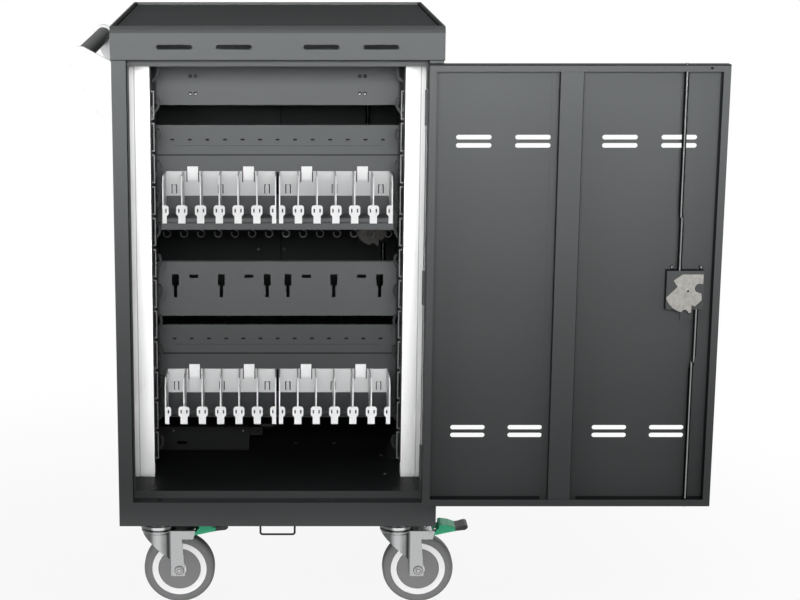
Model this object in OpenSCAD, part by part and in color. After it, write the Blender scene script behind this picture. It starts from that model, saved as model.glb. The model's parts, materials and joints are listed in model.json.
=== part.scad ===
// Laptop charging cart: a sheet steel cabinet on four braked swivel casters.
// The front holds the power adapters in comb modules, the back holds the laptops on edge.
// Each side has a full door on a vertical hinge with a three point rod lock.
// X runs to the right, Y to the back, Z up. The origin is on the floor under the cabinet's centre.

/* [Cabinet] */
// Width of the steel body
body_w = 560; // [540:5:620]
// Depth of the steel body over both door frames
body_d = 590; // [580:5:680]
// Height of the door opening
open_h = 779; // [760:1:900]
// Height of the rail under the door opening
sill_h = 44; // [44:1:60]
// Visible width of the frame beside the door opening
jamb_w = 24.5; // [22:0.5:30]
// Height of the top cap
cap_h = 57; // [50:1:70]
// Outer radius of the top cap's upper edge
cap_r = 10; // [6:1:14]
// Depth of the sunk top inside its rim
cap_sink = 5; // [3:0.5:6]
// Thickness of the frame and side sheets
sheet = 1.5; // [1.2:0.1:2]
// Thickness of the door, cap and inner sheets
thin = 1.2; // [1:0.1:1.5]

/* [Doors] */
// Thickness of a door over its folded edges
door_t = 22; // [20:1:23]
// Width of the folded lip round a door's inner face
door_lip = 12; // [10:1:18]
// Gap above and below a door
door_gap = 3.5; // [3:0.5:5]
// Gap beside a door
side_gap = 4.5; // [4:0.5:5]
// Width of the stiffening channel
stiffener_w = 39; // [36:1:50]
// Length of a ventilation slot
slot_l = 60; // [50:1:70]
// Height of a ventilation slot
slot_h = 8; // [6:1:10]
// Distance from a door's free edge to its lock
lock_in = 55.5; // [52:0.5:70]

/* [Lock] */
// Number of teeth on the lock's pinion
pinion_teeth = 20; // [18:2:22]
// Pitch radius of the lock's pinion
pinion_r = 11; // [10:0.5:11.5]
// Radius of the locking rods
rod_r = 4; // [3.5:0.25:4.25]
// Radius of the curved side of the cam plate
cam_r = 38.4; // [34:0.4:40]

/* [Adapter side] */
// Distance from the front face to the middle wall
wall_in = 248; // [240:1:260]
// Pitch of the adapter bays
bay_pitch = 34; // [32:0.25:34]
// Number of adapter bays in one module
bays = 6; // [6:1:6]
// Depth of the fins between the adapter bays
fin_d = 92; // [80:1:100]
// Height of a module's back plate
plate_h = 45; // [40:1:50]
// Height of a cable clip at the front of a fin
clip_h = 33; // [28:1:36]
// Wall of the moulded modules
mould = 2.6; // [2:0.2:3]
// Distance from the front face to the front posts
post_in = 150; // [146:1:152]
// Width of a front post
post_w = 37; // [30:1:38]
// Number of cable rings in one column
rings = 12; // [6:1:12]

/* [Device side] */
// Pitch of the device dividers
divider_pitch = 32; // [30:0.5:34]
// Number of dividers on one shelf
dividers = 13; // [9:2:13]
// Height of a divider above its shelf
divider_h = 150; // [120:1:160]
// Wire radius of the dividers and cable hooks
wire_r = 2; // [1.5:0.25:2.5]
// Height of the upper adapter tray above the floor
upper_tray_z = 677; // [660:1:690]
// Height of the lower adapter tray above the floor
lower_tray_z = 304; // [300:1:320]

/* [Casters] */
// Wheel diameter
wheel_d = 127; // [120:1:127]
// Wheel width
wheel_w = 32; // [28:1:34]
// Horizontal distance from the swivel axis to the axle
trail = 38; // [36:1:42]
// Distance from the cabinet's side to the outer edge of the caster channels and of the posts
side_inset = 17; // [16:1:28]
// Distance from the cabinet's front and back to the swivel axes
caster_inset = 60; // [58:1:72]
// Clear height between the wheel and the base
wheel_head = 33; // [33:1:40]

/* [Handle] */
// Diameter of the handle tube
tube_d = 28; // [24:1:30]
// Length of the handle tube between its brackets
tube_l = 445; // [300:5:500]
// Distance from the cabinet's side to the tube's axis
tube_out = 53; // [46:1:70]

/* [Hidden] */

charcoal = "dimgray";
dark = "#2e3032";
white = "whitesmoke";
zinc = "silver";

// Levels of the cabinet.
base_z = wheel_d + wheel_head;
sill_z = base_z + sill_h;
head_z = sill_z + open_h;
top_z = head_z + cap_h;
frame_top = head_z + 17;
front_y = -body_d / 2;
half_w = body_w / 2;
open_w = body_w - 2 * jamb_w;
inner_x = half_w - sheet;

// Door and its rebate.
door_w = open_w - 2 * side_gap;
door_z = sill_z + door_gap;
door_h = open_h - 2 * door_gap;
mitre_gap = 0.5;
rebate = 25;
stop_side = 3.2;
stop_sill = 13;
stop_head = 12.4;
hinge_x = door_w / 2 + 1.5;
hinge_off = 4.5;
hinge_y = front_y - hinge_off;
hinge_l = 60;
knuckle_r = 4;
knuckle_gap = 0.4;
pin_r = 2;
pin_fit = 0.05;
leaf_w = 19;
leaf_clear = 3.8;

// Ventilation slots come in pairs, near the top and near the bottom.
vent_x = [-173.5, -73.5, 73.5, 173.5];
vent_step = 14;
vent_top_z = head_z - 135;
vent_low_z = sill_z + 134.5;

// Lock, in the place it has on the closed front door.
lock_x = -(door_w / 2 - lock_in);
lock_z = door_z + door_h / 2;
tooth_m = 2 * pinion_r / pinion_teeth;
rack_pitch = PI * tooth_m;
backlash = 0.2;
bar_mid = pinion_r + 3.5;
rod_v = 14;
rod_run = 0.8;
upper_shank = bar_mid;
upper_end = bar_mid + 2;
lower_shank = bar_mid + 2.5;
lower_end = bar_mid - 1.5;
rod_fit = 0.35;
bar_t = 6.4;
bar_w = 7;
box_top_v = 17.7;
spindle_r = 5;
spindle_fit = 0.3;
cam_v = 19.8;
cam_t = 2.4;
keeper_r = rod_r + 1.2;

// Middle wall and what hangs on it.
wall_y = front_y + wall_in;
module_gap = 0.6;
module_w = bays * bay_pitch - module_gap;
module_x = bays * bay_pitch / 2 + 2.2;
plate_up = 34.7;
tab_h = 9;
tab_w = 19.6;
hook_x = 2.5 * bay_pitch;
tab_x = 1.5 * bay_pitch;
fin_t = 2.2;
roll_r = 5;
fin_low = 2 * roll_r + 0.6;
tray_d = fin_d + 3;
ledge_d = 42;
partition_lap = 16;
back_h = 110.3;
partition_h = 55;
crease_up = 15.7;
crease_end = 88.5;
shelf_drop = 12.5;
shelf_end = 34;
upper_shelf_lip = 60;
lower_shelf_lip = 42;
post_d = 30;

// Caster levels and places.
rail_w = 96;
track = body_w - 2 * side_inset - rail_w;
wheelbase = body_d - 2 * caster_inset;
wheel_r = wheel_d / 2;
cup_z = base_z - 19.5;
fork_top = base_z - 21;
axle_z = wheel_r;
leg_y = wheel_w / 2 + 4;
leg_t = 2.5;
web_t = 1.3;
axle_r = 4;
swivel_r = 6;
fork_r = 28;
corners = [[-1, -1], [1, -1], [-1, 1], [1, 1]];

// Depth measured back from the front face.
function dy(v) = front_y + v;

// ---- general shapes ----

// A box given by its lowest and highest corners.
module span(a, b) {
  translate(a) cube(b - a);
}

// A cylinder from one point to another.
module bar(a, b, r, segments = 32) {
  d = b - a;
  len = norm(d);
  translate(a)
    rotate([0, acos(d[2] / len), atan2(d[1], d[0])])
      cylinder(r = r, h = len, $fn = segments);
}

// An obround cutter along X that goes through in Y.
module slot_x(l, h, y0, y1) {
  for (s = [-1, 1])
    translate([s * (l - h) / 2, y0, 0])
      rotate([-90, 0, 0]) cylinder(d = h, h = y1 - y0, $fn = 32);
  span([-(l - h) / 2, y0, -h / 2], [(l - h) / 2, y1, h / 2]);
}

// The pattern of paired ventilation slots, in a plane across Y.
module vent_cuts(y0, y1) {
  for (x = vent_x, z = [vent_top_z, vent_low_z], s = [-0.5, 0.5])
    translate([x, 0, z + s * vent_step]) slot_x(slot_l, slot_h, y0, y1);
}

// Outline across the depth of a cap: upright sides and two rounded upper corners.
module cap_section(d, z0, z1, r) {
  y = d / 2;
  translate([-y, z0]) square([d, z1 - r - z0]);
  translate([-y + r, z0]) square([d - 2 * r, z1 - z0]);
  for (s = [-1, 1])
    translate([s * (y - r), z1 - r]) circle(r = r, $fn = 64);
}

// The same outline run along X over a width.
module cap_block(w, d, z0, z1, r) {
  translate([-w / 2, 0, 0]) rotate([90, 0, 90]) linear_extrude(w) cap_section(d, z0, z1, r);
}

// A shell open below, its top sunk inside a narrow rim.
module cap_shell(w, d, z0, z1, r, t) {
  x = w / 2 - 3;
  y = d / 2 - r - 2;
  difference() {
    cap_block(w, d, z0, z1, r);
    span([-x, -y, z1 - cap_sink], [x, y, z1 + 1]);
    difference() {
      cap_block(w - 2 * t, d - 2 * t, z0 - 1, z1 - t, r - t);
      span([-w, -y - t, z1 - cap_sink - t], [w, y + t, z1 + 1]);
    }
  }
}

// ---- cabinet ----

// Front door frame: face plate, rebate for the door, door stop and the two rod keepers.
module door_frame() {
  stop_y = dy(rebate);
  difference() {
    union() {
      span([-half_w, front_y, base_z], [half_w, dy(sheet), frame_top]);
      span([-open_w / 2 - sheet, dy(sheet), sill_z - sheet],
           [open_w / 2 + sheet, stop_y + sheet, head_z + sheet]);
    }
    span([-open_w / 2, front_y - 1, sill_z], [open_w / 2, stop_y, head_z]);
    span([-open_w / 2 + stop_side, front_y, sill_z + stop_sill],
         [open_w / 2 - stop_side, stop_y + 2 * sheet, head_z - stop_head]);
    translate([lock_x + upper_end, dy(rod_v), head_z - 1])
      cylinder(r = keeper_r, h = sheet + 2, $fn = 32);
    translate([lock_x - lower_end, dy(rod_v), sill_z - sheet - 1])
      cylinder(r = keeper_r, h = sheet + 2, $fn = 32);
  }
}

module front_frame() {
  color(charcoal) door_frame();
}

module rear_frame() {
  color(charcoal) rotate([0, 0, 180]) door_frame();
}

// Flat side sheet with the same ventilation pattern as the doors.
module side_sheet() {
  rotate([0, 0, 90])
    difference() {
      span([front_y + sheet, 0, base_z], [-front_y - sheet, sheet, frame_top]);
      vent_cuts(-1, sheet + 1);
    }
}

module left_side_panel() {
  color(charcoal)
    difference() {
      translate([-inner_x, 0, 0]) side_sheet();
      inlet_hole(-1, sheet + 1);
    }
}

// Opening round the mains inlet, from x0 to x1 inwards of the side.
module inlet_hole(x0, x1) {
  w = inlet_w / 2 + inlet_gap;
  h = inlet_h / 2 + inlet_gap;
  translate([-half_w, dy(inlet_in), inlet_z]) span([x0, -w, -h], [x1, w, h]);
}

module right_side_panel() {
  color(charcoal) translate([half_w, 0, 0]) side_sheet();
}

// Floor of the cabinet with its skirts and the turned in hem under it.
module base_pan() {
  floor_y = front_y + rebate + sheet;
  skirt_y = front_y + sheet;
  hem = 18;
  color(charcoal)
    difference() {
      union() {
        span([-inner_x, floor_y, sill_z - sheet], [inner_x, -floor_y, sill_z]);
        difference() {
          span([-inner_x, skirt_y, base_z], [inner_x, -skirt_y, sill_z - sheet]);
          span([-inner_x + sheet, skirt_y + sheet, base_z + sheet],
               [inner_x - sheet, -skirt_y - sheet, sill_z]);
          span([-inner_x + hem, skirt_y + hem, base_z - 1],
               [inner_x - hem, -skirt_y - hem, base_z + 2 * sheet]);
        }
      }
      for (s = [-1, 1])
        translate([s * loop_x, loop_y, base_z - 1]) cylinder(r = loop_r + 0.3, h = sheet + 2, $fn = 24);
      cable_exit();
    }
}

// Round cable hole in the floor behind the power box.
module cable_exit() {
  translate([cable_hole_x, dy(cable_hole_in), sill_z - 2 * sheet])
    cylinder(r = 16, h = 4 * sheet, $fn = 48);
}

// Cap over the cabinet: a shell with rounded front and rear edges and a ledge that sits on the panels.
module top_cap() {
  fit = 0.3;
  w = body_w + 2 * (fit + thin);
  d = body_d + 2 * (fit + thin);
  ledge = 18;
  slot_z = head_z + 22.5;
  color(charcoal)
    difference() {
      union() {
        cap_shell(w, d, head_z, top_z, cap_r, thin);
        difference() {
          span([-w / 2 + thin, -d / 2 + cap_r, frame_top], [w / 2 - thin, d / 2 - cap_r, frame_top + thin]);
          span([-w / 2 + ledge, -d / 2, frame_top - 1], [w / 2 - ledge, d / 2, frame_top + 2 * thin]);
        }
      }
      for (x = vent_x)
        translate([x, 0, slot_z]) slot_x(slot_l, slot_h, -d, d);
    }
}

// ---- front posts and cable rings ----

// Aluminium post section: a shallow box with one groove down its face.
module post_shape() {
  groove = 3;
  wall = 2.2;
  difference() {
    square([post_w, post_d]);
    translate([wall, 2 * wall]) square([post_w - 2 * wall, post_d - 3 * wall]);
    translate([2 * post_w / 3 - groove / 2, -1]) square([groove, 1 + groove / 2]);
  }
}

post_x = half_w - side_inset - post_w;
module front_posts() {
  color("gainsboro")
    for (s = [0, 1])
      mirror([s, 0, 0])
        translate([-post_x, dy(post_in), sill_z])
          mirror([1, 0, 0]) linear_extrude(frame_top - sill_z) post_shape();
}

ring_pitch = 57;
ring_h = 51;
ring_z = sill_z + 32;
guide_t = 2;

finger_reach = 14;
finger_h = 40;
finger_t = 4.5;

// Bowed finger that a cable is pressed behind: an arc that springs from the strip and stops short.
module finger() {
  r = (finger_h * finger_h / 4 + finger_reach * finger_reach) / (2 * finger_reach);
  translate([finger_reach - r, 0])
    difference() {
      circle(r = r, $fn = 72);
      circle(r = r - finger_t, $fn = 72);
      translate([-2 * r, -2 * r]) square([3 * r - finger_reach - 0.5, 4 * r]);
      translate([-r, finger_h / 2 - 9]) square([3 * r, r]);
    }
}

// One column: a strip on the post's inner face with square rings in front and bowed fingers behind.
module guide_column() {
  x0 = -post_x;
  x1 = x0 + guide_t;
  ring_y = dy(post_in + 8);
  finger_y = dy(post_in + 42);
  reach = 5.5;
  z1 = ring_z + rings * ring_pitch + finger_h + 4;
  span([x0, dy(post_in + 2), ring_z - 6], [x1, dy(post_in + 50), z1]);
  for (i = [0 : rings - 1])
    translate([0, 0, ring_z + i * ring_pitch])
      difference() {
        span([x1, ring_y, 0], [x1 + reach, ring_y + 4, ring_h]);
        span([x1 - 1, ring_y - 1, guide_t], [x1 + reach - guide_t, ring_y + 5, ring_h - guide_t]);
      }
  for (i = [0 : rings])
    translate([x1, finger_y, ring_z + i * ring_pitch + ring_h / 2])
      rotate([90, 0, 0]) linear_extrude(7) finger();
}

module cable_guides() {
  color(dark)
    for (s = [0, 1]) mirror([s, 0, 0]) guide_column();
}

// ---- middle wall ----

// A flat panel across the cabinet with its edges folded back.
module wall_panel(z0, z1, fold = 12) {
  span([-inner_x, wall_y, z0], [inner_x, wall_y + thin, z1]);
  span([-inner_x, wall_y + thin, z1 - thin], [inner_x, wall_y + fold, z1]);
  for (s = [-1, 1])
    span([s > 0 ? inner_x - thin : -inner_x, wall_y + thin, z0],
         [s > 0 ? inner_x : -inner_x + thin, wall_y + fold, z1 - thin]);
}

upper_panel_h = 105;
upper_panel_z = head_z - upper_panel_h;
module upper_panel() {
  hole_r = 2.2;
  color(charcoal)
    difference() {
      wall_panel(upper_panel_z, frame_top - 2);
      for (c = [-1, 1], x = [-plate_hole_x, plate_hole_x], z = [-plate_hole_z, plate_hole_z])
        translate([c * plate_x + x, wall_y - 1, plate_z + z])
          rotate([-90, 0, 0]) cylinder(r = hole_r, h = thin + 2, $fn = 24);
    }
}
plate_x = 153.5;
plate_z = upper_panel_z + 36.7;
plate_hole_x = 4.8;
plate_hole_z = 15.8;

// Panel behind a row of modules, with the tray or ledge that the adapters stand on.
module back_panel(tray_z, depth, lip, below) {
  half_tray = module_x + module_w / 2 + 2;
  span([-inner_x, wall_y, tray_z - below], [inner_x, wall_y + thin, tray_z + back_h]);
  span([-half_tray, wall_y - depth, tray_z - thin], [half_tray, wall_y, tray_z]);
  span([-half_tray, wall_y - depth, tray_z - lip], [half_tray, wall_y - depth + thin, tray_z - thin]);
}

// Rolled edge that keeps the adapters on a tray or a ledge.
module tray_roll(tray_z, depth) {
  half_tray = module_x + module_w / 2 + 2;
  y = wall_y - depth + roll_r + 0.3;
  bar([-half_tray, y, tray_z + roll_r - 0.6], [half_tray, y, tray_z + roll_r - 0.6], roll_r, 48);
}

hook_up = 22.5;

// The T shaped opening that takes a module's hook.
module key_slot() {
  span([-6.4, -5, 0], [6.4, 5, 21.6]);
  span([-3.2, -5, -22], [3.2, 5, 1]);
}

module hook_cuts(z) {
  for (m = [-1, 1], k = [-1, 0, 1])
    translate([m * module_x + k * hook_x, wall_y, z]) key_slot();
}

module upper_back_panel() {
  color(charcoal)
    difference() {
      union() {
        back_panel(upper_tray_z, tray_d, 11.4, 28);
        tray_roll(upper_tray_z, tray_d);
      }
      hook_cuts(upper_tray_z + plate_up + hook_up);
    }
}

module lower_back_panel() {
  color(charcoal)
    difference() {
      union() {
        back_panel(lower_tray_z, ledge_d, 2 * thin, 9);
        tray_roll(lower_tray_z, ledge_d);
      }
      hook_cuts(lower_tray_z + plate_up + hook_up);
    }
}

// Sheets that carry the inner ends of the device dividers.
module partition(tray_z) {
  z0 = tray_z + back_h - partition_lap;
  z1 = tray_z + back_h + partition_h;
  y0 = wall_y + thin;
  crease_z = tray_z + back_h + crease_up;
  crease_x = inner_x - crease_end;
  difference() {
    union() {
      span([-inner_x, y0, z0], [inner_x, y0 + thin, z1]);
      bar([-crease_x, y0, crease_z], [crease_x, y0, crease_z], 0.8, 24);
    }
    for (i = [0 : dividers - 1])
      translate([(i - (dividers - 1) / 2) * divider_pitch, 0, divider_z(tray_z)])
        slot_x(8, 3, y0 - 2, y0 + 3);
  }
}

function divider_z(tray_z) = tray_z - shelf_drop + divider_h;

module partitions() {
  color(charcoal) {
    partition(upper_tray_z);
    partition(lower_tray_z);
  }
}

slot_panel_up = 181.5;
slot_panel_h = 102.5;
slot_hook_up = 57;
slot_panel_z = lower_tray_z + slot_panel_up;
module slot_panel() {
  hook_z = slot_panel_z + slot_hook_up;
  color(charcoal)
    difference() {
      wall_panel(slot_panel_z, slot_panel_z + slot_panel_h);
      hook_cuts(hook_z);
      for (m = [-1, 1], k = [-1, 1])
        translate([m * module_x + k * tab_x - 8.3, wall_y - 2, hook_z + 14.5]) cube([16.6, 6, 6.4]);
    }
}

// ---- adapter modules ----

// Moulded comb: a back plate with two latch tabs, upright fins and a cable clip on each fin.
module adapter_module() {
  half = module_w / 2;
  y1 = wall_y;
  y0 = y1 - mould;
  fin_y = y1 - fin_d - 3;
  z1 = plate_up + plate_h;
  difference() {
    union() {
      span([-half, y0, plate_up], [half, y1, z1]);
      for (s = [-1, 1])
        span([s * tab_x - tab_w / 2, y0, z1 - 20], [s * tab_x + tab_w / 2, y1, z1 + tab_h]);
    }
    for (s = [-1, 1], e = [-1, 1])
      translate([s * tab_x + e * (tab_w / 2 + 0.9), 0, 0])
        span([-0.9, y0 - 1, z1 - 20], [0.9, y1 + 1, z1 + 1]);
    for (k = [-1, 0, 1], e = [-1, 1])
      translate([k * hook_x + e * 4.2, 0, plate_up + 4])
        bracket_cut(e, y0 - 1, y1 + 1);
  }
  for (k = [-1, 0, 1])
    translate([k * hook_x, y1, plate_up + hook_up]) module_hook();
  for (i = [0 : bays])
    translate([(i - bays / 2) * (module_w - fin_t) / bays, 0, 0]) {
      fin(fin_y, y0 + 0.5, z1);
      clip(fin_y, i == 0 ? 1 : i == bays ? -1 : 0);
    }
}

// Hook on the module's back: a neck in the slot's stem and a head behind the panel.
module module_hook() {
  span([-2.6, -0.5, -21.8], [2.6, thin + 0.5, -10.8]);
  span([-5.4, thin + 0.3, -21.8], [5.4, thin + 2.6, -10.8]);
}

// The square bracket shaped slot beside each hook.
module bracket_cut(e, ya, yb) {
  span([-0.9, ya, 0], [0.9, yb, 17]);
  for (z = [0, 15.2])
    span([e > 0 ? -2.6 : 0, ya, z], [e > 0 ? 0 : 2.6, yb, z + 1.8]);
}

// One fin: upright plate with a rounded upper front corner and a thin foot.
module fin(y0, y1, z1) {
  r = 14;
  translate([-fin_t / 2, 0, 0])
    rotate([90, 0, 90])
      linear_extrude(fin_t) {
        polygon([[y0, 16], [y0, z1 - r + 4], [y0 + r, z1 + 4], [y1, z1], [y1, plate_up],
                 [y1 - 22, fin_low], [y0 + 10, fin_low]]);
      }
}

// Cable clip in front of a fin: a round shouldered head with two windows on a narrower stem.
module clip(y, side) {
  head_w = 20;
  head_h = 19;
  stem_w = 13;
  t = 2.4;
  r = 5;
  difference() {
    union() {
      span([-head_w / 2, y - t, clip_h - head_h + r], [head_w / 2, y, clip_h - r]);
      span([-head_w / 2 + r, y - t, clip_h - head_h], [head_w / 2 - r, y, clip_h]);
      for (s = [-1, 1], z = [clip_h - r, clip_h - head_h + r])
        translate([s * (head_w / 2 - r), y, z]) rotate([90, 0, 0]) cylinder(r = r, h = t, $fn = 32);
      span([-stem_w / 2, y - t, 0.3], [stem_w / 2, y, clip_h - head_h + 1]);
    }
    for (s = [-1, 1])
      span([s * 5.2 - 1.3, y - t - 1, clip_h - 13], [s * 5.2 + 1.3, y + 1, clip_h - 6]);
    if (side != 0)
      span([side > 0 ? -head_w : fin_t / 2, y - t - 1, -1],
           [side > 0 ? -fin_t / 2 : head_w, y + 1, clip_h + 1]);
  }
}

module module_row(tray_z) {
  color(white)
    for (s = [-1, 1]) translate([s * module_x, 0, tray_z]) adapter_module();
}

module upper_modules() {
  module_row(upper_tray_z);
}

module lower_modules() {
  module_row(lower_tray_z);
}

// ---- device side ----

shelf_y1 = -front_y - shelf_end;
hook_ring_r = 7;
hook_wire = 1.5;
hook_drop = 13;

// Device shelf: folded up against the middle wall and down at the rear, with a row of cable hooks.
module device_shelf(tray_z, drop) {
  z1 = tray_z - shelf_drop;
  z0 = z1 - sheet;
  y0 = wall_y + thin;
  side = 20;
  span([-inner_x, y0, z0], [inner_x, shelf_y1, z1]);
  span([-inner_x, y0, z1], [inner_x, y0 + sheet, z1 + side]);
  span([-inner_x, shelf_y1 - sheet, z0 - drop], [inner_x, shelf_y1, z0]);
  for (s = [-1, 1])
    span([s > 0 ? inner_x - sheet : -inner_x, y0, z0 - side],
         [s > 0 ? inner_x : -inner_x + sheet, shelf_y1 - sheet, z0]);
  for (i = [-6.5 : 6.5])
    translate([i * bay_pitch, shelf_y1 - sheet, z0 - drop]) cable_hook();
}

// Open wire ring that hangs from the shelf's rear edge.
module cable_hook() {
  y = 0.3 - hook_wire;
  bar([0, y, 12], [0, y, -hook_drop], hook_wire, 24);
  translate([0, y, -hook_drop - hook_ring_r])
    rotate([90, 0, 0])
      rotate([0, 0, 90 - 300])
        rotate_extrude(angle = 300, $fn = 48) translate([hook_ring_r, 0]) circle(r = hook_wire, $fn = 24);
}

module upper_shelf() {
  color(charcoal) device_shelf(upper_tray_z, upper_shelf_lip);
}

module lower_shelf() {
  color(charcoal) device_shelf(lower_tray_z, lower_shelf_lip);
}

// One wire divider: a tab in the partition, a level run and a bend down to the shelf.
module divider(tray_z) {
  z = divider_z(tray_z);
  shelf_z = tray_z - shelf_drop;
  y0 = wall_y + 2 * thin + 0.3;
  y1 = shelf_y1 - 116;
  bend = 22;
  span([-3.3, wall_y + thin + 0.2, z - 1.1], [3.3, y0, z + 1.1]);
  bar([0, y0, z], [0, y1 - bend, z], wire_r, 24);
  translate([0, y1 - bend, z - bend])
    rotate([0, -90, 0])
      rotate_extrude(angle = 90, $fn = 48) translate([bend, 0]) circle(r = wire_r, $fn = 24);
  bar([0, y1, shelf_z], [0, y1, z - bend], wire_r, 24);
}

module device_dividers() {
  color(dark)
    for (t = [upper_tray_z, lower_tray_z], i = [0 : dividers - 1])
      translate([(i - (dividers - 1) / 2) * divider_pitch, 0, 0]) divider(t);
}

// ---- power ----

inlet_in = 390;
inlet_w = 47;
inlet_h = 28;
inlet_gap = 0.4;
box_h = 46;
box_in = 318;
box_d = 150;
box_w = 223.5;
box_slot_x = 94.5;
box_x1 = box_w - inner_x;
inlet_z = sill_z + box_h / 2;
cable_hole_x = -20;
cable_hole_in = 480;

// Mains box on the floor, with a small bracket beside it.
module power_box() {
  y0 = dy(box_in);
  color(dark) {
    difference() {
      span([-inner_x, y0, sill_z], [box_x1, y0 + box_d, sill_z + box_h]);
      span([-inner_x + 34, y0 + thin, sill_z + thin],
           [box_x1 - thin, y0 + box_d - thin, sill_z + box_h - thin]);
      translate([box_slot_x - inner_x, 0, sill_z + 14]) slot_x(20, 6.5, y0 - 1, y0 + thin + 1);
      inlet_hole(0, 26);
    }
    difference() {
      union() {
        span([box_x1, y0 + 12, sill_z + 26], [box_x1 + 26, y0 + 12 + sheet, sill_z + 42]);
        span([box_x1, y0 + 12, sill_z + 18], [box_x1 + sheet, y0 + 40, sill_z + 42]);
      }
      translate([box_x1 + 17, y0, sill_z + 34]) rotate([-90, 0, 0]) cylinder(r = 2, h = 30, $fn = 24);
    }
  }
}

// Mains inlet with its flange on the cabinet's left side.
module power_inlet() {
  flange = 2;
  color("black")
    translate([-half_w, dy(inlet_in), inlet_z])
      difference() {
        union() {
          span([-flange, -inlet_w / 2 - 8, -inlet_h / 2 - 3], [0, inlet_w / 2 + 8, inlet_h / 2 + 3]);
          span([0, -inlet_w / 2, -inlet_h / 2], [24, inlet_w / 2, inlet_h / 2]);
        }
        span([-flange - 1, -12.5, -9], [18, 12.5, 9]);
        for (s = [-1, 1])
          translate([-flange - 1, s * (inlet_w / 2 + 4), 0])
            rotate([0, 90, 0]) cylinder(r = 1.7, h = 4, $fn = 24);
      }
  color("goldenrod")
    for (p = [[-7, -2], [7, -2], [0, 4]])
      translate([-half_w + 4, dy(inlet_in) + p[0] - 1, inlet_z + p[1] - 2]) cube([14, 2, 4]);
}

// One outlet strip stands on the floor behind each post, its sockets facing the middle.
strip_h = 700;
module outlet_strip() {
  w = 34;
  d = 44;
  x0 = -inner_x;
  y0 = dy(post_in + post_d + 4);
  difference() {
    span([x0, y0, sill_z], [x0 + w, y0 + d, sill_z + strip_h]);
    for (i = [0 : 11])
      translate([x0 + w, y0 + d / 2, sill_z + 50 + i * 54]) {
        rotate([0, 90, 0]) translate([0, 0, -8]) cylinder(r = 17, h = 9, $fn = 40);
        for (a = [90, 210, 330])
          translate([-18, 8 * cos(a) - 1.5, 8 * sin(a) - 3]) cube([12, 3, 6]);
      }
  }
}

module outlet_strips() {
  color("black")
    for (s = [0, 1]) mirror([s, 0, 0]) outlet_strip();
}

// ---- base fittings ----

loop_r = 1.75;
loop_x = 30.4;
loop_y = front_y + 2 * sheet + loop_r;
loop_drop = 16.5;

// Wire loop under the front rail that a lock cable goes through.
module anchor_loop() {
  bend = 4;
  z = base_z - loop_drop;
  color("black")
    for (s = [0, 1])
      mirror([s, 0, 0]) {
        bar([loop_x, loop_y, z + bend], [loop_x, loop_y, sill_z - sheet], loop_r, 24);
        translate([loop_x - bend, loop_y, z + bend])
          rotate([90, 0, 0]) rotate([0, 0, -90])
            rotate_extrude(angle = 90, $fn = 48) translate([bend, 0]) circle(r = loop_r, $fn = 24);
        bar([0, loop_y, z], [loop_x - bend, loop_y, z], loop_r, 24);
      }
}

// ---- handle ----

tube_z = top_z - 53;
tube_y0 = front_y + 14;
arm_t = 8;

// Bracket seen from the front: a leaning leaf, its round end about the tube's axis.
module bracket_leaf() {
  hull() {
    translate([-tube_out, 0]) circle(r = tube_d / 2 + 5, $fn = 48);
    translate([-17.5, leaf_low + 8]) circle(r = 8, $fn = 32);
    translate([-5, leaf_low]) square([5, leaf_high - leaf_low]);
  }
}
leaf_low = -95;
leaf_high = -7;

// Leaf with the foot that is screwed to the cabinet's side.
module handle_bracket() {
  foot = 34;
  translate([-half_w, 0, tube_z])
    difference() {
      union() {
        rotate([90, 0, 0]) linear_extrude(arm_t) bracket_leaf();
        span([-5, 0, leaf_low], [0, foot, leaf_high - 12]);
      }
      for (z = [24, 64])
        translate([-8, foot - 12, leaf_low + z]) rotate([0, 90, 0]) cylinder(r = 2.6, h = 10, $fn = 24);
    }
}

module handle_brackets() {
  color(white) {
    translate([0, tube_y0, 0]) handle_bracket();
    translate([0, tube_y0 + tube_l, 0]) mirror([0, 1, 0]) handle_bracket();
  }
}

module handle_tube() {
  y1 = tube_y0 + tube_l;
  x = -half_w - tube_out;
  color("#3a3c3e")
    difference() {
      bar([x, tube_y0, tube_z], [x, y1, tube_z], tube_d / 2, 64);
      bar([x, tube_y0 - 1, tube_z], [x, y1 + 1, tube_z], tube_d / 2 - 2, 64);
    }
}

// ---- hinges ----

hinge_z = [door_z + 75, door_z + door_h / 2, door_z + door_h - 75];
end_l = 18;

// Frame half of one hinge: two end knuckles, the pin and the leaf on the jamb.
module frame_hinge() {
  z0 = -hinge_l / 2;
  plate_x0 = hinge_x + knuckle_r + leaf_clear;
  translate([0, 0, z0]) {
    translate([hinge_x, hinge_y, 0]) cylinder(r = pin_r, h = hinge_l, $fn = 32);
    for (z = [0, hinge_l - end_l]) {
      translate([hinge_x, hinge_y, z]) cylinder(r = knuckle_r, h = end_l, $fn = 32);
      span([hinge_x, hinge_y, z], [plate_x0, front_y, z + end_l]);
    }
    span([plate_x0, front_y - sheet, 0], [plate_x0 + leaf_w - leaf_clear, front_y, hinge_l]);
  }
}

module hinges_on_frame() {
  for (z = hinge_z) translate([0, 0, z]) frame_hinge();
}

module frame_hinges() {
  color(charcoal) {
    hinges_on_frame();
    rotate([0, 0, 180]) hinges_on_frame();
  }
}

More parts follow.
